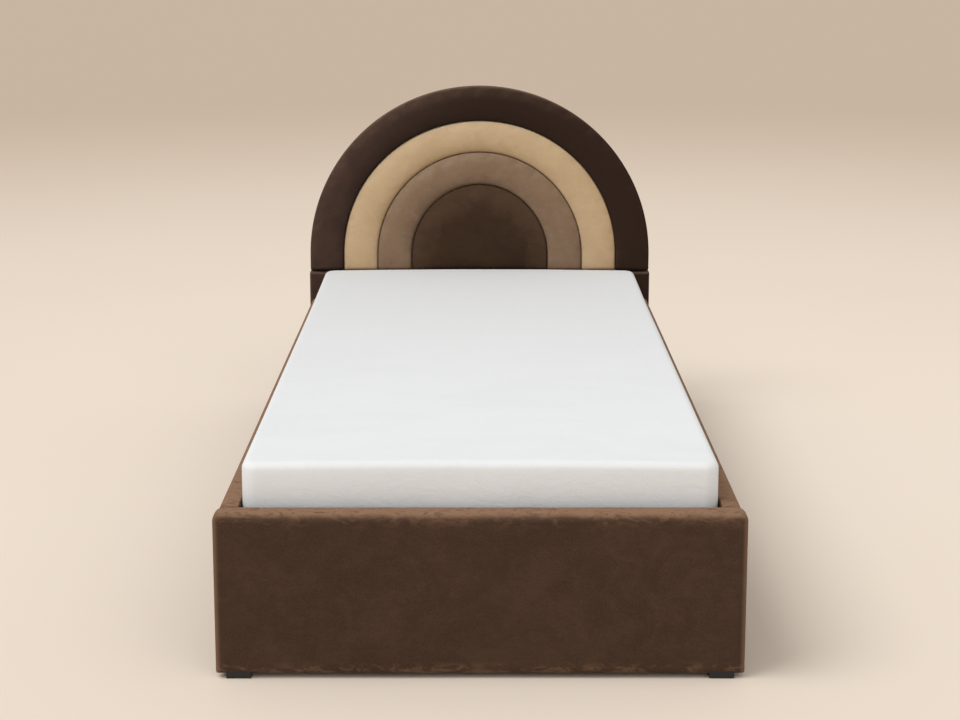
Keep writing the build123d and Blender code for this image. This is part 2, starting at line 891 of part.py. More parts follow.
def strut_piece(side, place, direction, eye_radius, stages):
    """An eye at a pivot, then round stages along a direction: start, end, radius and mode."""
    origin = Vector(side * strut_plane, station(place[0]), place[1])
    along = Vector(0, -direction[0], direction[1])
    with BuildPart() as piece:
        with BuildSketch(side_plane(side, eye_inner)):
            with Locations(on_side(side, *place)):
                Circle(eye_radius)
        extrude(amount=strut_eye_width)
        for start, end, radius, mode in stages:
            with BuildSketch(Plane(origin=origin + along * start, z_dir=along)):
                Circle(radius)
            extrude(amount=end - start, mode=mode)
        with BuildSketch(side_plane(side, eye_inner)):
            with Locations(on_side(side, *place)):
                Circle(strut_pin_radius + running_fit)
        extrude(amount=strut_eye_width, mode=Mode.SUBTRACT)
    return piece.part


def strut_cylinder(side):
    return strut_piece(side, strut_base(), strut_frame(side), strut_eye_radius, (
        (strut_neck_start, strut_neck_end, strut_neck_radius, Mode.ADD),
        (strut_neck_end, strut_length, strut_radius, Mode.ADD),
        (strut_bore_start, strut_length - strut_gland, strut_bore_radius, Mode.SUBTRACT),
        (strut_length - strut_gland, strut_length, rod_radius + running_fit, Mode.SUBTRACT),
    ))


def strut_rod(side):
    direction = strut_frame(side)
    return strut_piece(side, strut_horn(), (-direction[0], -direction[1]), strut_eye_radius, (
        (rod_start, rod_length, rod_radius, Mode.ADD),
        (rod_length, rod_length + piston_length, strut_bore_radius - piston_gap, Mode.ADD),
    ))


# Mattress, sheet and strap
def mattress_form(inset):
    """The crowned mattress shape, drawn in all round by an inset."""
    width = mattress_width - 2 * inset
    length = mattress_length - 2 * inset
    low = mattress_low + inset
    top = mattress_low + mattress_thickness - inset
    middle = station(head_gap + mattress_length / 2)
    with BuildPart() as form:
        with BuildSketch(Plane.XY.offset(low)):
            with Locations((0, middle)):
                RectangleRounded(width, length, mattress_corner_radius - inset)
        extrude(amount=top - low)
        with BuildSketch(front_plane(middle + length)):
            with BuildLine():
                ThreePointArc((-width, top - 4 * mattress_crown), (0, top), (width, top - 4 * mattress_crown))
                Polyline([(width, top - 4 * mattress_crown), (width, low), (-width, low),
                          (-width, top - 4 * mattress_crown)])
            make_face()
        extrude(amount=2 * length, mode=Mode.INTERSECT)
        fillet(form.faces().sort_by(Axis.Z)[-1].edges(), radius=mattress_edge_radius - inset)
        fillet(form.faces().sort_by(Axis.Z)[0].edges(), radius=mattress_under_radius - inset)
    return form.part


def fitted_sheet():
    """Thin fitted sheet: over the top, down the sides and a hem under the mattress."""
    with BuildPart() as sheet:
        add(mattress_form(0))
        add(mattress_form(sheet_thickness), mode=Mode.SUBTRACT)
        with BuildSketch(Plane.XY.offset(mattress_low)):
            with Locations((0, station(head_gap + mattress_length / 2))):
                RectangleRounded(mattress_width - 2 * sheet_hem_width, mattress_length - 2 * sheet_hem_width,
                                 mattress_corner_radius)
        extrude(amount=2 * sheet_thickness, mode=Mode.SUBTRACT)
    return sheet.part


def pull_strap():
    """Webbing from the foot tube up into the gap behind the mattress."""
    near = station(tube_foot_station)
    rise = station(head_gap + mattress_length) - strap_gap - strap_thickness / 2
    low = strap_root_height
    with BuildPart() as strap:
        with BuildSketch(Plane.YZ.offset(-strap_width / 2)):
            with BuildLine():
                FilletPolyline([(near, low), (rise, low), (rise, strap_top)], radius=strap_bend)
            trace(line_width=strap_thickness)
        extrude(amount=strap_width)
    return strap.part


os.makedirs("parts", exist_ok=True)

keep(foot_panel_board(), "foot_panel_board")
keep(foot_panel_cover(), "foot_panel_cover")
keep(head_panel_board(), "head_panel_board")
keep(head_panel_cover(), "head_panel_cover")
keep(arch_board(), "arch_board")
keep(back_cloth_sheet(), "headboard_back_cloth")
band_width = band_width_share * arch_radius
edges = [arch_radius - band_width * count for count in range(4)]
keep(arch_band(edges[1] + band_gap / 2, edges[0], wrapped=True), "arch_outer_pad")
keep(arch_band(edges[2] + band_gap / 2, edges[1] - band_gap / 2), "arch_cream_pad")
keep(arch_band(edges[3] + band_gap / 2, edges[2] - band_gap / 2), "arch_taupe_pad")
keep(arch_centre_pad(edges[3] - band_gap / 2), "arch_centre_pad")
keep(group(head_batten_bolts()), "headboard_batten_bolts")
keep(glide_feet(), "glide_feet")
keep(floor_bearer(), "centre_floor_bearer")
split = inner_length / 2
keep(floor_panel(floor_side_gap, split - floor_split_gap / 2), "head_floor_panel")
keep(floor_panel(split + floor_split_gap / 2, inner_length - floor_side_gap), "foot_floor_panel")
keep(group(corner_bracket(side, end) for side in sides.values() for end in (-1, 1)), "corner_brackets")
keep(group(corner_bolts()), "corner_bolts")
keep(rest_bumpers(), "rest_bumpers")
keep(group(hinge_screws(-1) + hinge_screws(1)), "hinge_plate_screws")
keep(group(base_pins(-1) + base_pins(1)), "base_pivot_pins")
keep(cross_tube(tube_head_station), "head_tube")
keep(cross_tube(tube_foot_station - tube_width), "foot_tube")
span = tube_foot_station - tube_head_station - tube_width
keep(group(cross_tube(tube_head_station + span * share) for share in cross_tube_shares), "cross_tubes")
keep(group(slat(middle) for middle in slat_stations()), "slats")
keep(group([rear_pin(-1), rear_pin(1)]), "platform_pivot_pins")
keep(mattress_form(sheet_thickness + soft_gap), "mattress_core")
keep(fitted_sheet(), "fitted_sheet")
keep(pull_strap(), "pull_strap")
for name, side in sides.items():
    keep(rail_board(side), f"{name}_rail_board")
    keep(rail_cover(side), f"{name}_rail_cover")
    keep(head_batten(side), f"{name}_headboard_batten")
    keep(floor_batten(side), f"{name}_floor_batten")
    keep(rest_ledge(side), f"{name}_rest_ledge")
    keep(hinge_plate(side), f"{name}_hinge_plate")
    keep(side_tube(side), f"{name}_side_tube")
    keep(group(slat_holder(side, middle) for middle in slat_stations()), f"{name}_slat_holders")
    keep(hanger_plate(side), f"{name}_hanger_plate")
    keep(rear_arm(side), f"{name}_rear_arm")
    keep(front_arm(side), f"{name}_front_arm")
    keep(guide_pin(side), f"{name}_guide_pin")
    keep(strut_stud(side), f"{name}_strut_stud")
    keep(strut_cylinder(side), f"{name}_strut_cylinder")
    keep(strut_rod(side), f"{name}_strut_rod")
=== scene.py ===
"""Looks of a single ottoman bed with an arched headboard in velvet bands.

Lengths are in metres, and sizes of real things are written as a number of millimetres times MM.
The foot is at -Y, the headboard at +Y, and +X is the right side seen from the foot.
"""
from math import ceil, cos, pi, radians, sin, sqrt

import bmesh
import bpy
import numpy as np
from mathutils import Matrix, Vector, noise


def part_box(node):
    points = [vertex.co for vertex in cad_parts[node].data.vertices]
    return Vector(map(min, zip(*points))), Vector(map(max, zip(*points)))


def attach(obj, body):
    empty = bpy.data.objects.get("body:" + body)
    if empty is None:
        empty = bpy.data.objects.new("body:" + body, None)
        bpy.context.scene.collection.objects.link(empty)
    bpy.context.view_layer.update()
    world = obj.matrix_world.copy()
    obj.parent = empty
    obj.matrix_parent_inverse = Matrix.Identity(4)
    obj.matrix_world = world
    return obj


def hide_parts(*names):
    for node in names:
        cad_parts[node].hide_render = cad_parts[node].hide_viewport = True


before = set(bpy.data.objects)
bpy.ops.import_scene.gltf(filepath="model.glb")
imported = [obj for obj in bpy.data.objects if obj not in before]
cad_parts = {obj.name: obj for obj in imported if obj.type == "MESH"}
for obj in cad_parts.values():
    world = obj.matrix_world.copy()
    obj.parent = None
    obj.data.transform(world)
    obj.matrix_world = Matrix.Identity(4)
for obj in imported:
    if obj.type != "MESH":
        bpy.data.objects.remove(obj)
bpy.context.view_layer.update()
scene = bpy.context.scene

MM = 0.001
SIDES = {"left": -1, "right": 1}

# Fabrics
SEAM_GAP = 1.6 * MM             # how far a band of the arch reaches over the next one's edge
BAND_CROWN = 12 * MM            # how far a band stands out from its seams
BAND_FOOT = 12 * MM             # height over the level seam in which the arch's pads are held down
CENTRE_CROWN = 15 * MM
SEAM_ROLL = 4 * MM              # height in which the arch rolls back into the level seam under it
HAND_SET = ((0, 0), (199, 9), (299, 4), (398, -4.5), (498, -3.5))   # radius and rise of seams, in mm
WALL_CORNER = 18 * MM
WALL_ROLL = 16 * MM
RAIL_WRAP = 104 * MM            # how far the velvet comes down the inside of a rail
HEM_HEIGHT = 7 * MM
HEM_SAG = 8 * MM                # how far the foot panel's velvet hangs below its board
SHEET_CORNER = 30 * MM
SHEET_ROLL = 15 * MM
SHEET_CROWN = 4 * MM
SHEET_EASE = 2 * MM
SHEET_HEM = 80 * MM
SHEET_CLOTH = 0.8 * MM
BACK_CLOTH = 0.5 * MM
PUFF_PRESSURE = 4.0
PUFF_STIFFNESS = 15.0
PUFF_FRAMES = 20
PUFF_REACH = 3 * MM             # the furthest that the air moves a point of a pad
STAPLE = {"Width": 10 * MM, "Wire": 1.1 * MM}
CLOTH_STAPLE_PITCH = 45 * MM
QUILT = 90 * MM                 # distance between the quilting lines under the mattress
FLOOR_REACH = 160               # metres, so that the floor ends out of sight
WAVES_PER_METRE = 2 * pi / 20   # the scale of a wave texture with one wave per metre


# Colours and materials
def tint(code):
    """An sRGB hex colour as linear red, green, blue and alpha."""
    values = [int(code[place:place + 2], 16) / 255 for place in (0, 2, 4)]
    return (*(v / 12.92 if v <= 0.04045 else ((v + 0.055) / 1.055) ** 2.4 for v in values), 1)


def assign(thing, **values):
    """Sets several properties of one thing."""
    for name, value in values.items():
        setattr(thing, name, value)


def node(where, kind, links=None, settings=None):
    """Adds a node to a tree, or to the tree of a socket, and gives its outputs.

    links holds each input's value or the output that feeds it, and settings the node's own settings.
    """
    tree = where.id_data
    made = tree.nodes.new(kind)
    assign(made, **(settings or {}))
    for name, value in (links or {}).items():
        if isinstance(value, bpy.types.NodeSocket):
            tree.links.new(value, made.inputs[name])
        else:
            made.inputs[name].default_value = value
    return made.outputs


def blank(name):
    """A new material with an empty tree, and its object coordinates."""
    material = bpy.data.materials.new(name)
    material.use_nodes = True
    material.node_tree.nodes.clear()
    return material, node(material.node_tree, "ShaderNodeTexCoord")["Object"]


def speckle(place, size, stretch=(1, 1, 1), detail=2.0, rough=0.5, twist=0.0):
    """Noise whose blotches are about size metres across, drawn out along an axis by stretch."""
    scaled = node(place, "ShaderNodeMapping", {
        "Vector": place, "Scale": tuple(1 / (size * each) for each in stretch)})[0]
    return node(place, "ShaderNodeTexNoise", {
        "Vector": scaled, "Scale": 1.0, "Detail": detail, "Roughness": rough, "Distortion": twist})[0]


def cells(place, size, feature="F1", **inputs):
    """Voronoi cells about size metres across."""
    return node(place, "ShaderNodeTexVoronoi", {"Vector": place, "Scale": 1 / size, **inputs},
                {"feature": feature})


def ranged(value, low, high, to_low=0.0, to_high=1.0):
    """A value's range taken to another range, eased at the ends."""
    return node(value, "ShaderNodeMapRange", {0: value, 1: low, 2: high, 3: to_low, 4: to_high},
                {"interpolation_type": "SMOOTHSTEP"})[0]


def mixed(share, first, second):
    """Two colours mixed by a share; a colour is a hex code or a socket."""
    first, second = (tint(colour) if isinstance(colour, str) else colour for colour in (first, second))
    return node(share, "ShaderNodeMix", {0: share, 6: first, 7: second}, {"data_type": "RGBA"})[2]


def worked(way, first, second=0.0):
    """One sum of two values, in Blender's name for it."""
    return node(first, "ShaderNodeMath", {0: first, 1: second}, {"operation": way})[0]


def times(first, second):
    """Two values multiplied."""
    return worked("MULTIPLY", first, second)


def vector(*parts):
    """Three values, one of them a socket at least, as one vector."""
    where = next(part for part in parts if isinstance(part, bpy.types.NodeSocket))
    return node(where, "ShaderNodeCombineXYZ", dict(enumerate(parts)))[0]


def split(value):
    """A vector's X, Y and Z."""
    return node(value, "ShaderNodeSeparateXYZ", {0: value})


def raised(height, depth, strength=1.0, under=None):
    """A bump whose height of 1 stands depth metres proud, over another bump."""
    links = {"Height": height, "Distance": depth, "Strength": strength}
    if under is not None:
        links["Normal"] = under
    return node(height, "ShaderNodeBump", links)[0]


def finished(material, colour, rough, **sockets):
    """Ends a material in one Principled shader with these sockets."""
    named = {name.replace("_", " "): value for name, value in sockets.items()}
    shader = node(material.node_tree, "ShaderNodeBsdfPrincipled", {
        "Base Color": colour, "Roughness": rough, **named})[0]
    node(material.node_tree, "ShaderNodeOutputMaterial", {"Surface": shader})
    return material


def velvet(name, deep, lit, nap_and_highlight, brushed=0.5, nap_and_light_lay=(0, 0, 1), over=(0.3, 1.0), ruffled=0.14,
           under=None, swept=None, rim=None, rubbed_and_lit_edges=None):
    """Crushed polyester velvet: deep where one looks into the pile, paler where the pile lies over, with painted
    light and shade.

    The pile is brushed in soft patches 30 to 90 mm across. Faces turned along the given direction,
    towards the key light, get a painted highlight in the pale colour, between the two leans in over;
    faces turned the other way get painted shade in the colour under. swept is painted shade towards the
    right, away from the key light; rim brightens it outside two radii of the arch; and the pair of heights
    marks where the pile is scuffed up in patches near the top and bottom, with a painted highlight along
    the rolled top edge and the front's side edges.
    The real pile is 1 mm long and 0.1 mm apart; it is drawn at 1.6 mm to show at all.
    """
    material, place = blank(name)
    normal = node(place, "ShaderNodeNewGeometry")["Normal"]
    along = node(place, "ShaderNodeVectorMath", {0: normal, 1: nap_and_light_lay}, {"operation": "DOT_PRODUCT"})["Value"]
    at = split(place)
    patches = speckle(place, 70 * MM, detail=4.0, rough=0.62, twist=0.6)
    strokes = speckle(place, 16 * MM, (2.2, 1, 1), 3.0, 0.6, 1.2)
    pile = speckle(place, 1.6 * MM, detail=1.0)
    uneven = worked("ADD", times(patches, 0.7), times(strokes, 0.3))
    lean = worked("ADD", along, ranged(uneven, 0.25, 0.75, -ruffled, ruffled))
    ground = mixed(ranged(uneven, 0.38, 0.66, 0.0, brushed), deep, lit)
    # Painted shade: darker towards the right, away from the key light.
    if swept:
        ground = mixed(ranged(at["X"], -0.48, 0.05), ground, swept)
    if rim:
        across = worked("POWER", at["X"], 2.0)
        above = worked("POWER", worked("SUBTRACT", at["Z"], arch_centre), 2.0)
        out = worked("SQRT", worked("ADD", across, above))
        out = worked("ADD", out, ranged(uneven, 0.3, 0.7, -14 * MM, 14 * MM))
        ground = mixed(ranged(out, rim[0], rim[1], 0.0, 0.42), ground, nap_and_highlight)
    if rubbed_and_lit_edges:
        low, high = rubbed_and_lit_edges
        blots = ranged(speckle(place, 26 * MM, (2.0, 1, 0.8), 5.0, 0.7, 1.5), 0.46, 0.62)
        near = worked("MAXIMUM", ranged(at["Z"], high - 34 * MM, high + 4 * MM),
                      ranged(at["Z"], low + 24 * MM, low, 0.0, 0.8))
        ground = mixed(times(times(blots, near), 0.42), ground, nap_and_highlight)
        # Painted highlight along the rolled top edge, where it catches the light.
        ground = mixed(ranged(at["Z"], high - 20 * MM, high + 6 * MM, 0.0, 0.35), ground, nap_and_highlight)
        # Painted highlight on the front's side edges, where the roll catches the light.
        side = ranged(worked("ABSOLUTE", at["X"]), foot_high.x - 13 * MM, foot_high.x - 3 * MM)
        edge = times(side, ranged(split(normal)["Y"], -0.05, -0.35))
        ground = mixed(times(edge, 0.45), ground, nap_and_highlight)
    marks = ranged(speckle(place, 24 * MM, (1.8, 0.8, 1), 5.0, 0.72, 2.4), 0.5, 0.64, 0.0, 0.6)
    top = mixed(marks, nap_and_highlight, lit)
    # Painted shade: faces turned away from the key light take the darker colour under.
    if under:
        ground = mixed(ranged(lean, 0.0, -0.65), ground, under)
    # Painted highlight: faces turned along the given direction, towards the key light, take the pale top colour.
    colour = mixed(ranged(lean, *over), ground, top)
    colour = mixed(ranged(pile, 0.3, 0.7, 0.0, 0.08), colour, nap_and_highlight)
    bump = raised(pile, 0.4 * MM, 0.35, raised(strokes, 0.5 * MM, 0.25))
    return finished(material, colour, 0.92, Normal=bump, Specular_IOR_Level=0.18,
                    Sheen_Weight=0.3, Sheen_Roughness=0.36, Sheen_Tint=tint(nap_and_highlight))


def cotton(name, colour, shade, far):
    """Percale cotton sheet: matt and crumpled, with painted shade that greys it faintly in the hollows and
    towards the head.

    Its yarns are 0.25 mm apart; they are drawn at 1.5 mm, as fine as the view can hold.
    """
    material, place = blank(name)
    slack = speckle(place, 150 * MM, (1.8, 1, 1), 3.0, 0.55, 0.8)
    # Painted shade: faint grey in soft blotches, for the hollows.
    tone = mixed(ranged(slack, 0.35, 0.7, 0.0, 0.3), colour, shade)
    # Painted shade: darker towards the head.
    tone = mixed(ranged(split(place)["Y"], -1.0, 1.0), tone, far)
    warp, weft = (node(place, "ShaderNodeTexWave", {
        "Vector": place, "Scale": WAVES_PER_METRE / (1.5 * MM), "Distortion": 1.0, "Detail": 1.0},
        {"bands_direction": way})["Fac"] for way in "XY")
    bump = raised(speckle(place, 60 * MM, (1, 1.6, 1), 5.0, 0.55, 1.6), 1.0 * MM, 0.22)
    bump = raised(speckle(place, 22 * MM, (1.3, 1, 1), 4.0, 0.7, 1.2), 1.5 * MM, 0.7, bump)
    bump = raised(times(warp, weft), 0.1 * MM, 0.3, bump)
    return finished(material, tone, 0.95, Normal=bump, Specular_IOR_Level=0.02)


def ticking(name, colour):
    """Knitted mattress ticking: soft off-white loops, 2 mm apart."""
    material, place = blank(name)
    loops = cells(place, 2 * MM, "SMOOTH_F1", Smoothness=0.6)["Distance"]
    tone = mixed(ranged(loops, 0.2, 0.8, 0.0, 0.3), colour, "C9C4BA")
    return finished(material, tone, 0.9, Normal=raised(loops, 0.5 * MM, 0.5), Sheen_Weight=0.1)


def chipboard(name):
    """Raw chipboard: pressed wood flakes 2 to 6 mm across in several browns, matt."""
    material, place = blank(name)
    flakes = cells(place, 5 * MM, Randomness=1.0)["Color"]
    grey = node(place, "ShaderNodeRGBToBW", {0: flakes})[0]
    dust = speckle(place, 1.8 * MM)
    tone = mixed(ranged(grey, 0.2, 0.8), "A9865A", "D0B183")
    tone = mixed(ranged(dust, 0.55, 0.75, 0.0, 0.5), tone, "7E5F3C")
    return finished(material, tone, 0.85, Normal=raised(grey, 0.2 * MM, 0.3))


def grained(name, pale, dark, along, ring, rough, fleck=None, coat=0.0):
    """Sawn wood: growth rings drawn out to long streaks along one axis, and pores between them."""
    material, place = blank(name)

    def drawn_out(size, times_longer, **look):
        return speckle(place, size, tuple(times_longer if axis == along else 1 for axis in range(3)), **look)

    rings = drawn_out(ring, 28, detail=5.0, rough=0.6, twist=0.4)
    pores = drawn_out(1.1 * MM, 14, detail=1.0)
    tone = mixed(ranged(rings, 0.35, 0.65), pale, dark)
    tone = mixed(ranged(pores, 0.6, 0.8, 0.0, 0.4), tone, dark)
    if fleck:
        tone = mixed(ranged(drawn_out(1.5 * MM, 5), 0.66, 0.72, 0.0, 0.55), tone, fleck)
    return finished(material, tone, rough, Normal=raised(pores, 0.15 * MM, 0.3), Coat_Weight=coat,
                    Coat_Roughness=0.3)


def hardboard(name):
    """Wet-process hardboard: smooth brown face with darker fibre specks."""
    material, place = blank(name)
    fibres = speckle(place, 2.2 * MM, detail=4.0, rough=0.7, twist=1.0)
    clouds = speckle(place, 120 * MM)
    tone = mixed(ranged(fibres, 0.3, 0.7), "8A6846", "A98660")
    tone = mixed(ranged(clouds, 0.4, 0.65, 0.0, 0.4), tone, "96744F")
    return finished(material, tone, 0.55, Normal=raised(fibres, 0.1 * MM, 0.25))


def coated_steel(name, colour, rough, peel=2.5):
    """Powder-coated steel: satin black with the orange peel of the baked powder."""
    material, place = blank(name)
    skin = speckle(place, peel * MM, detail=1.0)
    tone = mixed(ranged(speckle(place, 60 * MM), 0.4, 0.7, 0.0, 0.3), colour, "33343A")
    shine = ranged(skin, 0.3, 0.7, rough - 0.05, rough + 0.05)
    return finished(material, tone, shine, Normal=raised(skin, 0.08 * MM, 0.4))


def bare_metal(name, colour, other, rough, cloud=9.0):
    """Plated or drawn steel: metallic, with plating clouds a few millimetres across."""
    material, place = blank(name)
    clouds = speckle(place, cloud * MM, detail=3.0)
    tone = mixed(ranged(clouds, 0.3, 0.7), colour, other)
    return finished(material, tone, ranged(clouds, 0.3, 0.7, rough - 0.04, rough + 0.06), Metallic=1.0)


def moulded(name, colour, rough, grain=0.9):
    """Injection-moulded polypropylene or rubber: black with the fine spark grain of the mould."""
    material, place = blank(name)
    pits = speckle(place, grain * MM, detail=1.0)
    tone = mixed(ranged(pits, 0.4, 0.7, 0.0, 0.4), colour, "2C2C2E")
    return finished(material, tone, rough, Normal=raised(pits, 0.06 * MM, 0.5), Specular_IOR_Level=0.45)


def spunbond(name):
    """Black spun-bonded dust cover: thin fibres welded in a grid of dots 3 mm apart."""
    material, place = blank(name)
    dots = cells(place, 3 * MM, Randomness=0.15)["Distance"]
    fibres = speckle(place, 1.2 * MM, detail=3.0, rough=0.7, twist=2.0)
    tone = mixed(ranged(fibres, 0.35, 0.7, 0.0, 0.7), "1B1B1D", "39393D")
    tone = mixed(ranged(dots, 0.12, 0.3, 0.5, 0.0), tone, "0E0E10")
    return finished(material, tone, 0.8, Normal=raised(dots, 0.25 * MM, 0.5))


def webbing(name):
    """Woven polypropylene webbing: herringbone ribs 2 mm apart, from the strap's own UV map."""
    material, place = blank(name)
    flat = node(place, "ShaderNodeUVMap", settings={"uv_map": "along"})[0]
    ribs = node(place, "ShaderNodeTexWave", {"Vector": flat, "Scale": 22.0, "Distortion": 0.4},
                {"bands_direction": "DIAGONAL", "wave_profile": "SIN"})["Fac"]
    tone = mixed(ribs, "1D1A19", "3A3532")
    return finished(material, tone, 0.7, Normal=raised(ribs, 0.4 * MM, 0.6))


# Places read from the CAD
foot_low, foot_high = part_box("foot_panel_cover")
head_low, head_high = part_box("head_panel_cover")
outer_low, outer_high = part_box("arch_outer_pad")
cream_high, taupe_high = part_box("arch_cream_pad")[1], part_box("arch_taupe_pad")[1]
centre_low, centre_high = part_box("arch_centre_pad")
core_low, core_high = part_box("mattress_core")
sheet_low, sheet_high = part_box("fitted_sheet")
board_low, board_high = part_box("left_rail_board")
arch_radius = outer_high.x
arch_centre = outer_high.z - arch_radius
leg = arch_centre - outer_low.z
face_y, board_y, back_y = outer_low.y, cream_high.y, outer_high.y

# The arch's velvets are painted paler on faces turned up and to the left, towards the key light, and take their
# last colour as painted shade on faces turned away.
ARCH_NAP_AND_LIGHT = {"nap_and_light_lay": (-0.45, 0, 0.89), "over": (0.04, 0.95), "ruffled": 0.05}
# The foot velvet's third colour is also its painted highlight on faces turned up, along its rolled top edge and
# on the front's side edges.
FOOT_VELVET = velvet("mink_brown_crushed_velvet", "3E2D23", "503C2F", "8F7059",
                     rubbed_and_lit_edges=(foot_low.z, foot_high.z))
# 2E1F17 is painted shade towards the right of the arch and head panel, away from the key light.
OUTER_VELVET = velvet("dark_brown_crushed_velvet_brushed_left", "40302A", "4E3B31", "665144",
                      under="20150F", swept="2E1F17", **ARCH_NAP_AND_LIGHT)
DOME_VELVET = velvet("dark_brown_crushed_velvet_rubbed_rim", "38271B", "45321F", "66503F", brushed=0.4,
                     under="22160F", rim=(0.11, 0.205), **ARCH_NAP_AND_LIGHT)
CREAM_VELVET = velvet("cream_crushed_velvet", "C6A985", "D2B792", "E2CCAB", under="9C7E59", **ARCH_NAP_AND_LIGHT)
TAUPE_VELVET = velvet("taupe_crushed_velvet", "846C56", "957C66", "B09983", under="5A4635", **ARCH_NAP_AND_LIGHT)
# Its last two colours are painted shade: grey in the hollows and towards the head.
SHEET_COTTON = cotton("white_percale_cotton", "F0F3F6", "E7EAED", "E3E5E7")
TICKING = ticking("knitted_ticking", "E9E6DF")
CHIPBOARD = chipboard("raw_chipboard")
PINE_ALONG = grained("planed_softwood_lengthwise", "D8B98A", "BD9763", 1, 9 * MM, 0.6)
PINE_UP = grained("planed_softwood_upright", "D8B98A", "BD9763", 2, 9 * MM, 0.6)
BEECH = grained("steamed_beech_lacquered", "D9B48A", "C79D70", 0, 6 * MM, 0.42, fleck="A8764B", coat=0.35)
HARDBOARD = hardboard("brown_hardboard")
TUBE_COAT = coated_steel("black_powder_coated_tube", "17181B", 0.42)
PLATE_COAT = coated_steel("black_powder_coated_plate", "1C1D20", 0.38, peel=1.8)
STRUT_PAINT = coated_steel("black_strut_enamel", "101114", 0.22, peel=4.0)
ZINC = bare_metal("bright_zinc_plated_steel", "C9CBCC", "A9ACB0", 0.3)
CHROME = bare_metal("hard_chromed_rod", "D9DADC", "CFD1D4", 0.1, cloud=30.0)
WIRE = bare_metal("galvanised_staple_wire", "B9BBBD", "8F9296", 0.35, cloud=3.0)
FOOT_PLASTIC = moulded("moulded_foot_plastic", "141415", 0.5)
HOLDER_PLASTIC = moulded("moulded_holder_plastic", "1A1A1C", 0.45)
RUBBER = moulded("moulded_rubber", "151515", 0.75, grain=1.5)
SPUNBOND = spunbond("black_spunbond_cloth")
WEBBING = webbing("woven_polypropylene_webbing")
THREAD = moulded("bonded_nylon_thread", "4A4440", 0.5, grain=0.8)


# Meshes
def cleaned(name, mesh, gap, outwards=True, smooth=True):
    """A mesh as an object at the origin, with its doubles merged and its faces outwards."""
    build = bmesh.new()
    build.from_mesh(mesh)
    bmesh.ops.remove_doubles(build, verts=build.verts, dist=gap)
    if outwards:
        bmesh.ops.recalc_face_normals(build, faces=build.faces)
    for face in build.faces:
        face.smooth = smooth
    build.to_mesh(mesh)
    build.free()
    made = bpy.data.objects.new(name, mesh)
    scene.collection.objects.link(made)
    return made


def piece(name, points, faces, material, closed=True):
    """A smooth piece from points and faces."""
    mesh = bpy.data.meshes.new(name)
    mesh.from_pydata([tuple(point) for point in points], [], faces)
    mesh.materials.append(material)
    return cleaned(name, mesh, 0.01 * MM, outwards=closed)


def coordinates(made):
    """A piece's points as rows; the columns of its transpose x, y, z are the same values."""
    values = np.zeros(len(made.data.vertices) * 3)
    made.data.vertices.foreach_get("co", values)
    return values.reshape(-1, 3)


def reshape(made, points):
    """Gives a piece its points back after they were moved."""
    made.data.vertices.foreach_set("co", points.ravel())
    made.data.update()


def smoothed(made):
    """Rounds a piece by one step of subdivision."""
    assign(made.modifiers.new("rounding", "SUBSURF"), levels=1, render_levels=1)
    return made


def thickened(made, thickness):
    """Gives an open piece its cloth's thickness, inwards."""
    assign(made.modifiers.new("cloth", "SOLIDIFY"), thickness=thickness, offset=-1)


def installed(made, body, slot, *stands_for):
    """Puts a finished piece on its body and lets it stand for CAD nodes; the slot is not used."""
    if stands_for:
        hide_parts(*stands_for)
    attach(made, body)


def upholstered(made, points, body, slot, stands_for):
    """Gives a padded piece its points after they were moved, and puts it on its body."""
    reshape(made, points)
    installed(smoothed(made), body, slot, stands_for)


def fade(values, start, end):
    """0 up to the start and 1 from the end on, straight in between."""
    return np.clip((values - start) / (end - start), 0, 1)


def wander(points, size, seed, stretch=(1, 1, 1)):
    """Smooth noise from -1 to 1 at each point, with waves about size long."""
    along, across, up = (1 / (size * each) for each in stretch)
    return np.array([noise.noise(Vector((x * along + seed, y * across, z * up))) for x, y, z in points])


def lines_across(half, corner, roll, step):
    """Grid lines from edge to edge: close together over the roll, then even."""
    over_roll = [half - roll * (1 - cos(radians(angle))) for angle in range(0, 91, 15)]
    inner = half - max(corner, roll)
    between = [inner + (half - roll - inner) * share / 4 for share in range(4)] if corner > roll else []
    count = max(2, ceil(2 * inner / step))
    middle = [-inner + 2 * inner * place / count for place in range(count + 1)]
    outer = over_roll + between
    return sorted({round(value, 6) for value in [*middle, *outer, *(-value for value in outer)]})


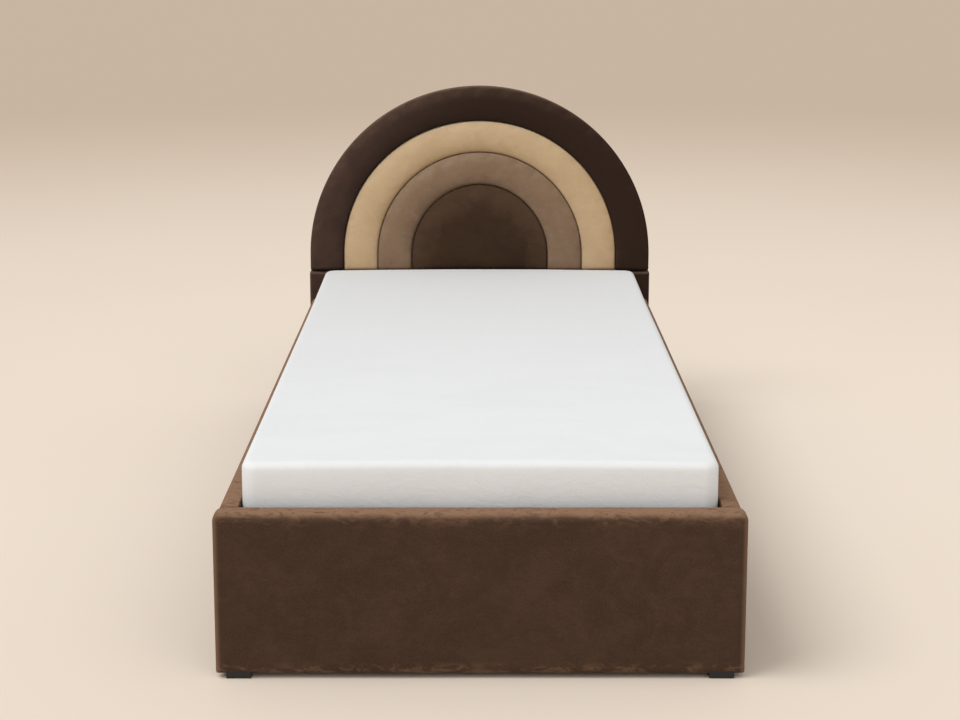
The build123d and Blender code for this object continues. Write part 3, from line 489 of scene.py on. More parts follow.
def padded_block(half_u, half_v, depth, corners, roll, back_roll, step, open_back=None):
    """A box padded in front: its outline has rounded corners, and its front and back edges roll over.

    corners are the radii at the bottom and at the top. Points come as across, up and forward from the back.
    open_back leaves the back open further than that from its edges.
    """
    widest = max(corners)
    across = lines_across(half_u, widest, roll, step)
    upward = lines_across(half_v, widest, roll, step)
    levels = max(2, ceil((depth - roll - back_roll) / step))
    points, faces, index = [], [], {}

    def place(i, j, level):
        """The number of the point on two grid lines and a level, made on its first use."""
        key = (i, j, level)
        if key not in index:
            u, v = across[i], upward[j]
            radius = corners[1] if v > 0 else corners[0]
            a, b = abs(u) - (half_u - radius), abs(v) - (half_v - radius)
            if a > 0 and b > 0:
                reach = max(a, b)
                angle = pi / 4 * (b / a) if a >= b else pi / 2 - pi / 4 * (a / b)
                u = np.sign(u) * (half_u - radius + reach * cos(angle))
                v = np.sign(v) * (half_v - radius + reach * sin(angle))
            inside = min(half_u - abs(across[i]), half_v - abs(upward[j]))
            if level == levels:
                fall = max(0.0, roll - inside)
                w = depth - roll + sqrt(max(0.0, roll ** 2 - fall ** 2))
            elif level == 0:
                fall = max(0.0, back_roll - inside)
                w = back_roll - sqrt(max(0.0, back_roll ** 2 - fall ** 2))
            else:
                w = back_roll + (depth - roll - back_roll) * level / levels
            index[key] = len(points)
            points.append((u, v, w))
        return index[key]

    last_i, last_j = len(across) - 1, len(upward) - 1
    for i in range(last_i):
        for j in range(last_j):
            faces.append([place(*key, levels) for key in ((i, j), (i + 1, j), (i + 1, j + 1), (i, j + 1))])
            middle = min(half_u - abs(across[i] + across[i + 1]) / 2,
                         half_v - abs(upward[j] + upward[j + 1]) / 2)
            if open_back is None or middle < open_back:
                faces.append([place(*key, 0) for key in ((i, j), (i, j + 1), (i + 1, j + 1), (i + 1, j))])
    rim = [(i, 0) for i in range(last_i)] + [(last_i, j) for j in range(last_j)]
    rim += [(i, last_j) for i in range(last_i, 0, -1)] + [(0, j) for j in range(last_j, 0, -1)]
    for first, second in zip(rim, rim[1:] + rim[:1]):
        for level in range(levels):
            faces.append([place(*first, level), place(*second, level),
                          place(*second, level + 1), place(*first, level + 1)])
    return np.array(points), faces


def inflated(made, hold):
    """Blows a pad up as cloth with its held points pinned, and caps how far each point moves."""
    rest = coordinates(made)
    group = made.vertex_groups.new(name="seam")
    for share in (False, True):
        group.add([int(member) for member in np.nonzero(hold == share)[0]], float(share), "REPLACE")
    cloth = made.modifiers.new("puff", "CLOTH")
    assign(cloth.settings, quality=5, mass=0.3, vertex_group_mass="seam", bending_stiffness=0.5,
           tension_stiffness=PUFF_STIFFNESS, compression_stiffness=PUFF_STIFFNESS,
           shear_stiffness=PUFF_STIFFNESS / 3, use_pressure=True, uniform_pressure_force=PUFF_PRESSURE)
    cloth.settings.effector_weights.gravity = 0
    cloth.collision_settings.use_collision = False
    assign(cloth.point_cache, frame_start=1, frame_end=PUFF_FRAMES)
    for step in range(1, PUFF_FRAMES + 1):
        scene.frame_set(step)
    blown = made.evaluated_get(bpy.context.evaluated_depsgraph_get())
    move = coordinates(blown) - rest
    made.modifiers.remove(cloth)
    made.vertex_groups.clear()
    far = np.linalg.norm(move, axis=1)
    move *= np.minimum(1, PUFF_REACH / np.maximum(far, 1e-9))[:, None]
    reshape(made, rest + move)
    scene.frame_set(1)


def tube_faces(rows, ring):
    """Faces of a tube whose points come row by row, ring points to a row, with its ends shut."""
    faces = []
    for start in range(0, (rows - 1) * ring, ring):
        for place in range(ring):
            after = (place + 1) % ring
            faces.append([start + place, start + after, start + ring + after, start + ring + place])
    return [*faces, list(range(ring)), [(rows - 1) * ring + place for place in range(ring)]]


# Shapes that follow a rule, made by Geometry Nodes
def tree_with(name, inputs):
    """A new tree with named inputs and a material, given as the group input's sockets."""
    tree = bpy.data.node_groups.new(name, "GeometryNodeTree")
    for label, kind in {"Geometry": "Geometry", **inputs, "Material": "Material"}.items():
        tree.interface.new_socket(name=label, in_out="INPUT", socket_type=f"NodeSocket{kind}")
    tree.interface.new_socket(name="Geometry", in_out="OUTPUT", socket_type="NodeSocketGeometry")
    return node(tree, "NodeGroupInput")


def ended(shape, given):
    """Ends a tree in real geometry with the given material, and returns it."""
    real = node(shape, "GeometryNodeRealizeInstances", {0: shape})[0]
    painted = node(shape, "GeometryNodeSetMaterial", {0: real, 2: given["Material"]})[0]
    node(shape, "NodeGroupOutput", {0: painted})
    return shape.id_data


def in_a_row(part, given, turn=None):
    """Sets a part on the given line, a pitch apart, turned like the line or by a rotation."""
    row = node(part, "GeometryNodeCurveToPoints", {"Curve": given["Geometry"], "Length": given["Pitch"]},
               {"mode": "LENGTH"})
    return node(part, "GeometryNodeInstanceOnPoints", {
        "Points": row["Points"], "Instance": part, "Rotation": row["Rotation"] if turn is None else turn})[0]


def grown(name, line, tree, values, closed=False, smooth=True):
    """Runs a tree on a curve of straight runs and keeps the result as a plain mesh object."""
    curve = bpy.data.curves.new(name, "CURVE")
    curve.dimensions = "3D"
    spline = curve.splines.new("POLY")
    spline.points.add(len(line) - 1)
    for point, place in zip(spline.points, line):
        point.co = (*place, 1)
    spline.use_cyclic_u = closed
    source = bpy.data.objects.new("source", curve)
    scene.collection.objects.link(source)
    run = source.modifiers.new("rule", "NODES")
    run.node_group = tree
    sockets = {item.name: item.identifier for item in tree.interface.items_tree if item.in_out == "INPUT"}
    for label, value in values.items():
        run[sockets[label]] = value
    bpy.context.view_layer.update()
    mesh = bpy.data.meshes.new_from_object(source.evaluated_get(bpy.context.evaluated_depsgraph_get()))
    bpy.data.objects.remove(source)
    mesh.name = name
    return cleaned(name, mesh, 0.005 * MM, smooth=smooth)


def arch_tree():
    """Sweeps a band's section up one leg, over the half-round top and down the other leg."""
    given = tree_with("arch_sweep", {"Radius": "Float", "Leg": "Float", "Centre Height": "Float",
                                     "Depth Place": "Float", "Stations": "Int"})
    radius, upright = given["Radius"], given["Leg"]
    path = node(radius, "GeometryNodeCurvePrimitiveLine")[0]
    count = worked("ADD", given["Stations"], 1)
    path = node(path, "GeometryNodeResampleCurve", {"Curve": path, "Count": count})[0]
    share = node(path, "GeometryNodeSplineParameter")["Factor"]
    arc = times(radius, pi)
    past_leg = worked("SUBTRACT", times(share, worked("ADD", arc, times(upright, 2.0))), upright)
    angle = worked("DIVIDE", worked("MINIMUM", worked("MAXIMUM", past_leg), arc), radius)
    below = worked("ADD", worked("MAXIMUM", times(past_leg, -1.0)),
                   worked("MAXIMUM", worked("SUBTRACT", past_leg, arc)))
    across = times(times(worked("COSINE", angle), -1.0), radius)
    height = worked("ADD", times(worked("SINE", angle), radius), given["Centre Height"])
    spot = vector(across, given["Depth Place"], worked("SUBTRACT", height, below))
    path = node(path, "GeometryNodeSetPosition", {"Geometry": path, "Position": spot})[0]
    swept = node(path, "GeometryNodeCurveToMesh", {
        "Curve": path, "Profile Curve": given["Geometry"], "Fill Caps": True})[0]
    return ended(swept, given)


def staple_tree():
    """Sets one staple after another along a line, each a little slanted, proud of the cloth."""
    given = tree_with("staple_row", {
        "Pitch": "Float", "Width": "Float", "Wire": "Float", "Slant": "Float", "Seed": "Int"})
    width, wire, slant = given["Width"], given["Wire"], given["Slant"]
    bar = node(wire, "GeometryNodeMeshCube", {"Size": vector(width, wire, wire), "Vertices X": 4})[0]
    bend = split(node(bar, "GeometryNodeInputPosition")[0])[0]
    share = worked("DIVIDE", worked("ABSOLUTE", bend), times(width, 0.5))
    down = times(worked("GREATER_THAN", share, 0.9), times(wire, -1.0))
    bar = node(bar, "GeometryNodeSetPosition", {"Geometry": bar, "Offset": vector(0.0, down, 0.0)})[0]
    drawn = node(bar, "FunctionNodeRandomValue", {
        "Min": times(slant, -1.0), "Max": slant, "Seed": given["Seed"]}, {"data_type": "FLOAT"})
    turn = next(out for out in drawn if out.enabled and out.type == "VALUE")
    staples = node(bar, "GeometryNodeRotateInstances", {
        "Instances": in_a_row(bar, given), "Rotation": vector(0.0, turn, 0.0)})[0]
    return ended(staples, given)


def screw_tree():
    """Sets countersunk screw heads along a line, each a low disc with a cross cut in it."""
    given = tree_with("screw_row", {"Pitch": "Float", "Head": "Float", "Proud": "Float", "Turn": "Vector"})
    wide, proud = given["Head"], given["Proud"]
    head = node(wide, "GeometryNodeMeshCylinder", {"Vertices": 16, "Radius": times(wide, 0.5), "Depth": proud},
                {"fill_type": "NGON"})[0]
    slot, thin = times(wide, 0.55), times(wide, 0.13)
    for across, along in ((slot, thin), (thin, slot)):
        cutter = node(head, "GeometryNodeMeshCube", {"Size": vector(across, along, proud)})[0]
        cutter = node(head, "GeometryNodeTransform", {
            "Geometry": cutter, "Translation": vector(0.0, 0.0, times(proud, 0.4))})[0]
        head = node(head, "GeometryNodeMeshBoolean", {"Mesh 1": head, "Mesh 2": cutter},
                    {"operation": "DIFFERENCE"})[0]
    return ended(in_a_row(head, given, given["Turn"]), given)


def stitch_tree():
    """Lays short rounded threads end to end along a sewn line."""
    given = tree_with("stitch_row", {"Pitch": "Float", "Length": "Float", "Thread": "Float"})
    thick = given["Thread"]
    thread = node(thick, "GeometryNodeMeshUVSphere", {"Segments": 8, "Rings": 5, "Radius": times(thick, 0.5)})[0]
    thread = node(thread, "GeometryNodeTransform", {
        "Geometry": thread, "Scale": vector(1.0, 1.0, worked("DIVIDE", given["Length"], thick))})[0]
    return ended(in_a_row(thread, given), given)


ARCH, STAPLES, SCREWS, STITCHES = arch_tree(), staple_tree(), screw_tree(), stitch_tree()


# Foot panel and lower head panel
def wall_panel(name, low, high, material, corners, roll, back_roll):
    """A velvet cover over a padded board, standing across the bed with its front towards the foot."""
    size, middle = high - low, (low + high) / 2
    points, faces = padded_block(size.x / 2, size.z / 2, size.y, corners, roll, back_roll, 14 * MM)
    across, up, forward = points.T
    return piece(name, np.stack([across, high.y - forward, middle.z + up], axis=1), faces, material)


foot_cover = wall_panel("foot_panel_velvet", foot_low, foot_high, FOOT_VELVET,
                        (4 * MM, WALL_CORNER), WALL_ROLL, 4 * MM)
points = coordinates(foot_cover)
x, y, z = points.T
front = fade(y, foot_high.y - 6 * MM, foot_high.y - 36 * MM)
hem = np.exp(-((z - foot_low.z - HEM_HEIGHT) / (3 * MM)) ** 2)
groove = np.exp(-((z - foot_low.z - 2.2 * HEM_HEIGHT) / (4 * MM)) ** 2)
y -= front * (1.0 * MM * hem - 0.8 * MM * groove)
y -= front * 0.9 * MM * wander(points, 260 * MM, 3.1)
z += fade(z, foot_high.z - 20 * MM, foot_high.z) * 0.7 * MM * wander(points, 45 * MM, 8.4)
lip = fade(y, foot_low.y + 22 * MM, foot_low.y + 14 * MM)
z -= lip * HEM_SAG * fade(z, foot_low.z + 40 * MM, foot_low.z)
upholstered(foot_cover, points, "base", "charcoal_velvet", "foot_panel_cover")

head_cover = wall_panel("head_panel_velvet", head_low, head_high, OUTER_VELVET,
                        (3 * MM, 4 * MM), 9 * MM, 2.5 * MM)
points = coordinates(head_cover)
y = points[:, 1]
y -= fade(y, head_high.y - 20 * MM, head_high.y - 40 * MM) * 1.0 * MM * wander(points, 180 * MM, 5.7)
upholstered(head_cover, points, "base", "dark_velvet", "head_panel_cover")


# Rail covers
def rail_section(low, high, side):
    """The cover's outline round a rail's board: outer face, rolled top, inner fold and underside."""
    outer, inner = (high.x, low.x) if side > 0 else (-low.x, -high.x)
    board_inner, board_outer = abs(board_high.x), abs(board_low.x)
    board_top, board_under = board_high.z, board_low.z
    fold = high.z - RAIL_WRAP
    roll, lip, foot = 13 * MM, 3 * MM, 3 * MM
    outline = []

    def run(start, end, step):
        start, way = np.array(start), np.subtract(end, start)
        count = max(1, ceil(np.hypot(*way) / step))
        outline.extend(tuple(start + way * place / count) for place in range(count))

    def arc(middle, radius, first, last, count):
        for place in range(count):
            angle = radians(first + (last - first) * place / count)
            outline.append((middle[0] + radius * cos(angle), middle[1] + radius * sin(angle)))

    arc((outer - foot, low.z + foot), foot, -90, 0, 3)
    run((outer, low.z + foot), (outer, high.z - roll), 14 * MM)
    arc((outer - roll, high.z - roll), roll, 0, 90, 7)
    run((outer - roll, high.z), (inner + lip, high.z), 5 * MM)
    arc((inner + lip, high.z - lip), lip, 90, 180, 3)
    corners = [(inner, high.z - lip), (inner, fold), (board_inner, fold), (board_inner, board_top),
               (board_outer, board_top), (board_outer, board_under), (board_inner, board_under),
               (board_inner, low.z), (outer - foot, low.z)]
    for start, end, step in zip(corners, corners[1:], (13, 3, 24, 12, 40, 12, 3, 12)):
        run(start, end, step * MM)
    return outline


def rail_velvet(side_name, side):
    """A rail's cover: creased over its top, most of all near the foot, and a little slack outside."""
    low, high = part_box(f"{side_name}_rail_cover")
    outline = rail_section(low, high, side)
    length = high.y - low.y
    count = ceil(length / (11 * MM))
    points = [(side * a, low.y + length * row / count, up) for row in range(count + 1) for a, up in outline]
    made = piece(f"{side_name}_rail_velvet", points, tube_faces(count + 1, len(outline)), FOOT_VELVET)
    points = coordinates(made)
    x, y, z = points.T
    top = fade(z, high.z - 20 * MM, high.z)
    outer = fade(abs(x), abs(board_low.x) + 6 * MM, abs(board_low.x) + 20 * MM)
    near_foot = 0.35 + 0.65 * fade(y, low.y + 0.5, low.y)
    creases = wander(points, 17 * MM, 2.2 + side, stretch=(4, 1, 1))
    z += top * near_foot * MM * (0.9 * creases - 0.6 * np.abs(wander(points, 42 * MM, 5.2, (3, 1, 1))))
    x += side * outer * 0.9 * MM * wander(points, 240 * MM, 6.1 + side)
    upholstered(made, points, "base", "charcoal_velvet", f"{side_name}_rail_cover")


for side_name, side in SIDES.items():
    rail_velvet(side_name, side)


# Arched pads of the headboard
def band_profile(half, wrapped):
    """Closed section of a band, as offset across from its middle and depth from the headboard's face."""
    front = []
    for place in range(21):
        t = -1 + 2 * place / 20
        t = np.sign(t) * (1 - (1 - abs(t)) ** 1.3)
        front.append((t * half, BAND_CROWN * (1 - sqrt(max(0.0, 1 - abs(t) ** 2.3)))))
    deep = board_y - face_y
    if not wrapped:
        sides = [(half, BAND_CROWN + (deep - BAND_CROWN) * share) for share in (0.5, 1)]
        return front + sides + [(0, deep)] + [(-a, d) for a, d in reversed(sides)]
    rim, turned = back_y - face_y, 7.7 * MM
    edge = [(half, BAND_CROWN + (rim - BAND_CROWN - 2 * MM) * share / 6) for share in range(1, 7)]
    turn = [(half - 0.6 * MM, rim - 0.6 * MM), (half - 2 * MM, rim), (half - 5 * MM, rim),
            (half - turned, rim)]
    inner = [(half - turned, deep + (rim - deep) / 2), (half - turned, deep), (0, deep), (-half, deep),
             (-half, (deep + BAND_CROWN) / 2)]
    return front + edge + turn + inner


def seam_roll(y, z, crown):
    """Rolls the legs' bottom ends back into the level seam above the lower panel."""
    above = fade(z, outer_low.z + SEAM_GAP, outer_low.z + SEAM_GAP + SEAM_ROLL)
    fall = BAND_CROWN * (1 - np.sqrt(1 - (1 - above) ** 2))
    facing = y < face_y + crown
    y[facing] = np.maximum(y[facing], face_y + fall[facing])


def from_middle(x, z):
    """Distance from the arch's centre over the top, and from its middle line between the legs."""
    return np.where(z > arch_centre, np.hypot(x, z - arch_centre), abs(x))


def hand_set(x, z):
    """Shifts the seams over the top of the arch up or down, as they were upholstered by eye."""
    radius = np.hypot(x, z - arch_centre)
    rise = np.clip((z - arch_centre) / np.maximum(radius, MM), 0, 1) ** 2
    places, shifts = zip(*HAND_SET)
    z += rise * np.interp(radius / MM, places, shifts) * MM


def pad_done(made, points, free, slot):
    """Sets a pad's seams by the listed shifts, puffs it up between them and puts it on the base."""
    hand_set(points[:, 0], points[:, 2])
    reshape(made, points)
    inflated(made, ~free)
    upholstered(made, coordinates(made), "base", slot, made.name.replace("_velvet", "_pad"))


def band(name, high, inner, material, slot, wrapped=False, wrinkles=()):
    """One padded band between two radii, blown up from a slightly slack section."""
    half, middle = (high - inner) / 2, (high + inner) / 2
    section = [(-a, d - (back_y - face_y) / 2, 0) for a, d in band_profile(half, wrapped)]
    made = grown(name, section, ARCH, {
        "Radius": middle, "Leg": leg, "Centre Height": arch_centre, "Depth Place": (back_y + face_y) / 2,
        "Stations": ceil((pi * middle + 2 * leg) / (9 * MM)), "Material": material}, closed=True)
    points = coordinates(made)
    x, y, z = points.T
    radius = from_middle(x, z)
    seam_roll(y, z, BAND_CROWN)
    slack = fade(abs(radius - middle), half, 0)
    free = (y < face_y + BAND_CROWN * 0.9) & (z > outer_low.z + BAND_FOOT)
    y += free * 1.2 * MM * np.minimum(1, slack * 3)
    y -= free * 0.6 * MM * slack * wander(points, 60 * MM, 1.3 + 9 * inner)
    turn = np.arctan2(z - arch_centre, x)
    pucker = np.sin(turn * radius / (11 * MM) + 3 * wander(points, 90 * MM, 4.4 + inner)) * np.exp(-slack / 0.22)
    y += free * 0.35 * MM * (1 + pucker)
    for spot_x, spot_z, spread, size in wrinkles:
        near = np.exp(-((x - spot_x) ** 2 + (z - spot_z) ** 2) / spread ** 2)
        crease = wander(points, size, 7.7 + spot_x, stretch=(1.0, 1, 2.6))
        y += free * 1.1 * MM * near * np.abs(crease) * np.minimum(1, slack * 4)
    pad_done(made, points, free, slot)


band("arch_outer_velvet", arch_radius, cream_high.x + SEAM_GAP, OUTER_VELVET, "dark_velvet", wrapped=True)
band("arch_cream_velvet", cream_high.x, taupe_high.x + SEAM_GAP, CREAM_VELVET, "cream_velvet", wrinkles=(
    (0.225, 0.735, 45 * MM, 15 * MM), (0.17, 0.775, 30 * MM, 13 * MM), (-0.12, 0.79, 40 * MM, 18 * MM)))
band("arch_taupe_velvet", taupe_high.x, centre_high.x + SEAM_GAP, TAUPE_VELVET, "taupe_velvet")


def arch_grid(radius, bottom, shares, leg_rows, arc_rows):
    """Fans rows out from the middle line to an arch's outline.

    Gives points as across, up and share of the way out, the faces, and the points of the edge in turn.
    """
    height = arch_centre - bottom
    legs = [row / leg_rows for row in range(leg_rows)]
    turns = [pi * row / arc_rows for row in range(arc_rows + 1)]
    stations = [(-1, 0, bottom + height * row) for row in legs]
    stations += [(-cos(turn), sin(turn), arch_centre) for turn in turns]
    stations += [(1, 0, bottom + height * row) for row in reversed(legs)]
    points = [(radius * share * a, base + radius * share * b, share)
              for a, b, base in stations for share in shares]
    width = len(shares)
    last = (len(stations) - 1) * width
    faces = [[start + place, start + place + 1, start + width + place + 1, start + width + place]
             for start in range(0, last, width) for place in range(width - 1)]
    rim = [start + width - 1 for start in range(0, last + width, width)]
    bottom_edge = [*range(width - 1, -1, -1), *(last + place for place in range(1, width))]
    return points, faces, rim + list(reversed(bottom_edge))[1:-1]


def centre_pad():
    """The half-round middle panel: one soft dome that rolls into its seam all round."""
    radius = centre_high.x
    grid, faces, edge = arch_grid(radius, centre_low.z, [1 - (1 - row / 22) ** 1.5 for row in range(23)], 5, 60)
    points = [(across, face_y + CENTRE_CROWN * (1 - sqrt(max(0.0, 1 - share ** 2.6))), up)
              for across, up, share in grid]
    back = len(points)
    points += [(points[place][0], board_y, points[place][2]) for place in edge]
    for place in range(len(edge)):
        after = (place + 1) % len(edge)
        faces.append([edge[place], edge[after], back + after, back + place])
    faces.append([back + place for place in range(len(edge))])
    made = piece("arch_centre_velvet", points, faces, DOME_VELVET)
    points = coordinates(made)
    x, y, z = points.T
    seam_roll(y, z, CENTRE_CROWN)
    around = from_middle(x, z) / radius
    free = (y < face_y + CENTRE_CROWN * 0.8) & (z > outer_low.z + BAND_FOOT) & (around < 0.97)
    y += free * 1.5 * MM
    y += free * 0.6 * MM * (1 + wander(points, 50 * MM, 6.6)) * around ** 2
    pad_done(made, points, free, "dark_velvet")


centre_pad()


# Cloth on the headboard's back
cloth_low, cloth_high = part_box("headboard_back_cloth")
batten_low, batten_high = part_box("right_headboard_batten")


def back_cloth():
    """Black dust cover, pulled over the board and stapled: it bellies a little between its staples."""
    radius, bottom = cloth_high.x, cloth_low.z
    grid, faces, edge = arch_grid(radius, bottom, [row / 26 for row in range(27)], 26, 60)
    points = np.array([(across, cloth_high.y - 0.3 * MM, up) for across, up, _ in grid])
    x, y, z = points.T
    to_edge = np.minimum(np.array([1 - share for *_, share in grid]), (z - bottom) / radius)
    nearest = np.abs(np.abs(x) - (batten_low.x + batten_high.x) / 2) - (batten_high.x - batten_low.x) / 2
    off_batten = fade(np.where(z < batten_high.z + 40 * MM, nearest, 1.0), 0, 60 * MM)
    belly = fade(to_edge, 0, 0.08) * off_batten
    scallop = np.abs(np.sin(z * pi / (2 * CLOTH_STAPLE_PITCH))) * np.exp(-to_edge / 0.03)
    y += MM * belly * (1.3 + 1.1 * wander(points, 160 * MM, 3.3, stretch=(1, 1, 2)))
    y += MM * 0.5 * scallop
    made = piece("headboard_dust_cover", points, faces, SPUNBOND, closed=False)
    thickened(made, BACK_CLOTH)
    installed(smoothed(made), "base", "back_cloth", "headboard_back_cloth")

    inset, level = 9 * MM, cloth_high.y + 0.9 * MM
    reach = radius - inset
    line = [(-reach, level, bottom + inset + row * 0.1) for row in range(4)]
    line += [(-reach * cos(pi * row / 90), level, arch_centre + reach * sin(pi * row / 90)) for row in range(91)]
    line += [(reach, level, bottom + inset + row * 0.1) for row in range(3, -1, -1)]
    staples = grown("back_cloth_staples", line, STAPLES, {
        **STAPLE, "Pitch": CLOTH_STAPLE_PITCH, "Slant": 0.25, "Seed": 7, "Material": WIRE}, smooth=False)
    installed(staples, "base", "zinc_steel")


back_cloth()


def fixings(name, low, high, side, inset, height, tree, values):
    """A row of staples or screws on the inner face of a side piece, from foot to head."""
    face = side * (min(abs(low.x), abs(high.x)) - 0.2 * MM)
    line = [(face, low.y + inset, height), (face, high.y - inset, height)]
    installed(grown(name, line, tree, values, smooth=False), "base", "zinc_steel")


for side_name, side in SIDES.items():
    low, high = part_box(f"{side_name}_rail_cover")
    fixings(f"{side_name}_rail_staples", low, high, side, 40 * MM, high.z - RAIL_WRAP + 7 * MM, STAPLES, {
        **STAPLE, "Pitch": 60 * MM, "Slant": 0.2, "Seed": 3 + side, "Material": WIRE})
    low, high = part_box(f"{side_name}_rest_ledge")
    fixings(f"{side_name}_ledge_screws", low, high, side, 50 * MM, (low.z + high.z) / 2, SCREWS, {
        "Pitch": 220 * MM, "Head": 8 * MM, "Proud": 0.8 * MM, "Turn": (0, -side * pi / 2, 0), "Material": ZINC})


# Mattress and sheet
def lying(name, low, high, material, corner, roll, under_roll, step, open_back=None):
    """A soft block that lies flat, crowned across its width, with its top rolled over at the edges."""
    size, middle = high - low, (low + high) / 2
    points, faces = padded_block(size.x / 2, size.y / 2, size.z, (corner, corner), roll, under_roll, step,
                                 open_back)
    x, y, z = points.T
    z -= fade(z, 0, size.z) * SHEET_CROWN * (x / (size.x / 2)) ** 2
    return piece(name, np.stack([middle.x + x, middle.y + y, low.z + z], axis=1), faces, material)


ease = Vector((SHEET_EASE, 0, 0))
core = lying("mattress_body", core_low - ease, core_high + ease, TICKING, SHEET_CORNER - 1 * MM,
             SHEET_ROLL - 1 * MM, 9 * MM, 24 * MM)
points = coordinates(core)
x, y, z = points.T
under = z < core_low.z + 1 * MM
quilt = np.abs(np.sin(x * pi / QUILT) * np.sin(y * pi / QUILT))
z[under] += 2.5 * MM * (1 - np.minimum(1, 3 * quilt[under]))
upholstered(core, points, "platform", "mattress_foam", "mattress_core")

cover = lying("white_fitted_sheet", sheet_low - ease, sheet_high + ease, SHEET_COTTON, SHEET_CORNER, SHEET_ROLL,
              10 * MM, 22 * MM, open_back=SHEET_HEM)
points = coordinates(cover)
x, y, z = points.T
top = fade(z, sheet_high.z - 40 * MM, sheet_high.z - 10 * MM)
to_foot = fade(y, sheet_low.y + 0.35, sheet_low.y)
to_head = fade(y, sheet_high.y - 0.4, sheet_high.y - 0.05)
wave = wander(points, 140 * MM, 4.2, stretch=(1, 1.8, 1))
fine = wander(points, 44 * MM, 7.7, stretch=(2.2, 0.7, 1))
z += top * MM * (0.6 * wave + (0.1 + 0.9 * to_foot) * 0.4 * fine + 6 * to_head)
wall = fade(z, sheet_high.z - SHEET_ROLL, sheet_high.z - SHEET_ROLL - 30 * MM) * (z > sheet_low.z + 8 * MM)
middle = (sheet_low + sheet_high) / 2
reach_x = (x - middle.x) / (sheet_high.x + SHEET_EASE)
reach_y = (y - middle.y) / (sheet_high.y - middle.y)
to_corner = fade(np.minimum(abs(reach_x), abs(reach_y)), 6 / 11, 1)
drape = 0.5 * wander(points, 60 * MM, 9.9, stretch=(1, 1, 3))
drape -= 0.8 * to_corner * np.abs(wander(points, 26 * MM, 1.9, stretch=(0.8, 0.8, 5)))
x += wall * MM * drape * np.sign(reach_x) * (abs(reach_x) > 0.985)
y += wall * MM * drape * np.sign(reach_y) * (abs(reach_y) > 0.992)
reshape(cover, points)
thickened(cover, SHEET_CLOTH)
installed(smoothed(cover), "platform", "sheet_cotton", "fitted_sheet")


# Pull strap between the mattress and the foot panel
def pull_strap():
    """Flat webbing from the platform's foot tube up to the hand, its end turned over and sewn down."""
    low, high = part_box("pull_strap")
    thick, half = 2 * MM, (high.x - low.x) / 2
    bend, turned_end = 7 * MM, 26 * MM
    upright, root = low.y + thick / 2, low.z + thick / 2
    path = [(high.y - (high.y - upright - bend) * row / 3, root) for row in range(3)]
    path += [(upright + bend - bend * sin(radians(angle)), root + bend - bend * cos(radians(angle)))
             for angle in range(0, 91, 15)]
    rise = high.z - 3 * MM - path[-1][1]
    steps = ceil(rise / (4 * MM))
    path += [(upright, path[-1][1] + rise * row / steps) for row in range(1, steps + 1)]
    runs = [0.0]
    for (y0, z0), (y1, z1) in zip(path, path[1:]):
        runs.append(runs[-1] + np.hypot(y1 - y0, z1 - z0))
    length = runs[-1]
    across = [half * share for share in (-1, -0.94, -0.8, -0.6, -0.4, -0.2, 0, 0.2, 0.4, 0.6, 0.8, 0.94, 1)]
    outline = [(a, thick / 2) for a in across] + [(a, -thick / 2) for a in reversed(across)]
    points, flats = [], []
    for number, ((y, z), run) in enumerate(zip(path, runs)):
        before, after = path[max(0, number - 1)], path[min(len(path) - 1, number + 1)]
        ahead = Vector((after[0] - before[0], after[1] - before[1])).normalized()
        doubled = 0.35 * MM if run > length - turned_end else 0.0
        for a, depth in outline:
            selvedge = 0.75 if abs(a) > 0.9 * half else 1.0
            off = depth * selvedge + np.sign(depth) * doubled
            points.append((a, y - ahead.y * off, z + ahead.x * off))
            flats.append((a, run))
    made = piece("pull_strap_webbing", points, tube_faces(len(path), len(outline)), WEBBING)
    spots = {tuple(round(float(value), 5) for value in point): flat for point, flat in zip(points, flats)}
    layer = made.data.uv_layers.new(name="along")
    for loop in made.data.loops:
        place = made.data.vertices[loop.vertex_index].co
        layer.data[loop.index].uv = spots.get(tuple(round(value, 5) for value in place), (0.0, 0.0))
    installed(made, "platform", "strap_webbing", "pull_strap")

    front, top = upright - thick / 2 - 0.5 * MM, path[-1][1] - 4 * MM
    under = top - turned_end + 8 * MM
    side = half - 4 * MM
    line = [(-side, front, top), (side, front, top), (side, front, under), (-side, front, under),
            (-side, front, top), (side, front, under)]
    seam = grown("pull_strap_box_stitch", line, STITCHES, {
        "Pitch": 3.2 * MM, "Length": 2.4 * MM, "Thread": 0.6 * MM, "Material": THREAD})
    installed(seam, "platform", "strap_webbing")


pull_strap()


# Finishes of the nodes that keep their CAD shape; those marked with a * are one for each side
FINISHES = {
    CHIPBOARD: "foot_panel_board head_panel_board arch_board *_rail_board",
    PINE_ALONG: "centre_floor_bearer *_floor_batten *_rest_ledge",
    PINE_UP: "*_headboard_batten",
    HARDBOARD: "head_floor_panel foot_floor_panel",
    BEECH: "slats",
    TUBE_COAT: "head_tube foot_tube cross_tubes *_side_tube",
    PLATE_COAT: "*_hinge_plate *_hanger_plate *_rear_arm *_front_arm",
    ZINC: "corner_brackets corner_bolts hinge_plate_screws headboard_batten_bolts base_pivot_pins "
          "platform_pivot_pins *_guide_pin *_strut_stud",
    STRUT_PAINT: "*_strut_cylinder",
    CHROME: "*_strut_rod",
    FOOT_PLASTIC: "glide_feet",
    HOLDER_PLASTIC: "*_slat_holders",
    RUBBER: "rest_bumpers",
}
for material, names in FINISHES.items():
    for name in {name.replace("*", side): None for name in names.split() for side in SIDES}:
        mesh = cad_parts[name].data
        if not mesh.materials:
            mesh.materials.append(material)
        for place in range(len(mesh.materials)):
            mesh.materials[place] = material


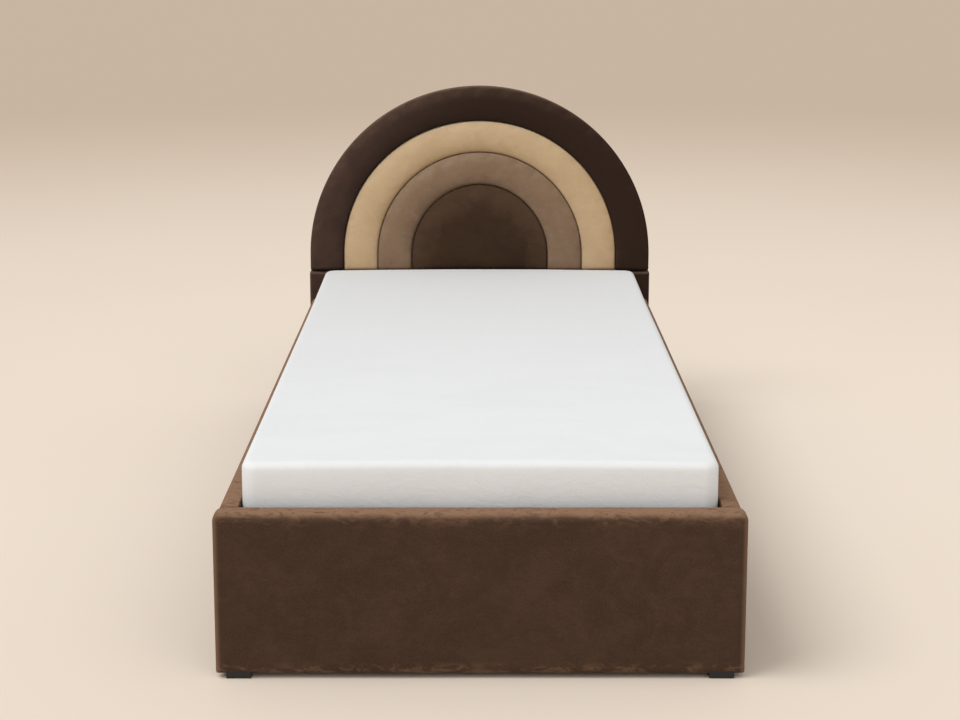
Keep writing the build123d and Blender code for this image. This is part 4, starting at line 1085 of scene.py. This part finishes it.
# Stage, lights and camera
def stage():
    """A pale beige floor that runs out of sight, painted darker with distance as a falloff of light, and the
    same beige above it.
    """
    material, place = blank("studio_floor")
    tone = mixed(ranged(speckle(place, 2.5, detail=1.0), 0.3, 0.7, 0.0, 0.25), "F5E8DA", "ECDDCC")
    # Painted light falloff: the floor darkens with distance from the middle.
    away = node(place, "ShaderNodeVectorMath", {0: place}, {"operation": "LENGTH"})["Value"]
    tone = mixed(ranged(away, 0.5, 11.0), tone, "CBB9A7")
    finished(material, tone, 0.9, Specular_IOR_Level=0.1)
    corners = [(x * FLOOR_REACH, y * FLOOR_REACH, 0) for x, y in ((-1, -1), (1, -1), (1, 1), (-1, 1))]
    floor = piece("floor", corners, [(0, 1, 2, 3)], material, closed=False)

    world = bpy.data.worlds.new("studio")
    scene.world = world
    world.use_nodes = True
    tree = world.node_tree
    tree.nodes.clear()
    rays = node(tree, "ShaderNodeLightPath")
    seen = worked("MAXIMUM", rays["Is Camera Ray"],
                  worked("MAXIMUM", rays["Is Glossy Ray"], rays["Is Transmission Ray"]))
    light, view = (node(tree, "ShaderNodeBackground", {0: tint(colour), 1: strength})[0]
                   for colour, strength in (("FFFBF5", 0.5), ("C9B6A3", 1.0)))
    both = node(tree, "ShaderNodeMixShader", {0: seen, 1: light, 2: view})[0]
    node(tree, "ShaderNodeOutputWorld", {0: both})


def lamp(name, strength, turn, spread):
    """A broad sun lamp; turn and spread are in degrees."""
    data = bpy.data.lights.new(name, "SUN")
    assign(data, energy=strength, angle=radians(spread))
    made = bpy.data.objects.new(name, data)
    assign(made, location=(0, 0, 5), rotation_euler=[radians(angle) for angle in turn])
    scene.collection.objects.link(made)


stage()
lamp("soft_key", 1.33, (33, 0, -72), 36)
lamp("soft_fill", 0.56, (51, 0, 12), 70)

# The camera is fitted to the outline in the photo
camera = bpy.data.cameras.new("view")
assign(camera, sensor_width=36, lens=69.79, shift_x=0.0016, shift_y=-0.1, clip_end=400)
seen_from = bpy.data.objects.new("view", camera)
assign(seen_from, location=(-0.0033, -4.3856, 1.3886), rotation_euler=(radians(79.848), 0, 0))
scene.collection.objects.link(seen_from)
scene.camera = seen_from
scene.view_settings.view_transform = "Standard"
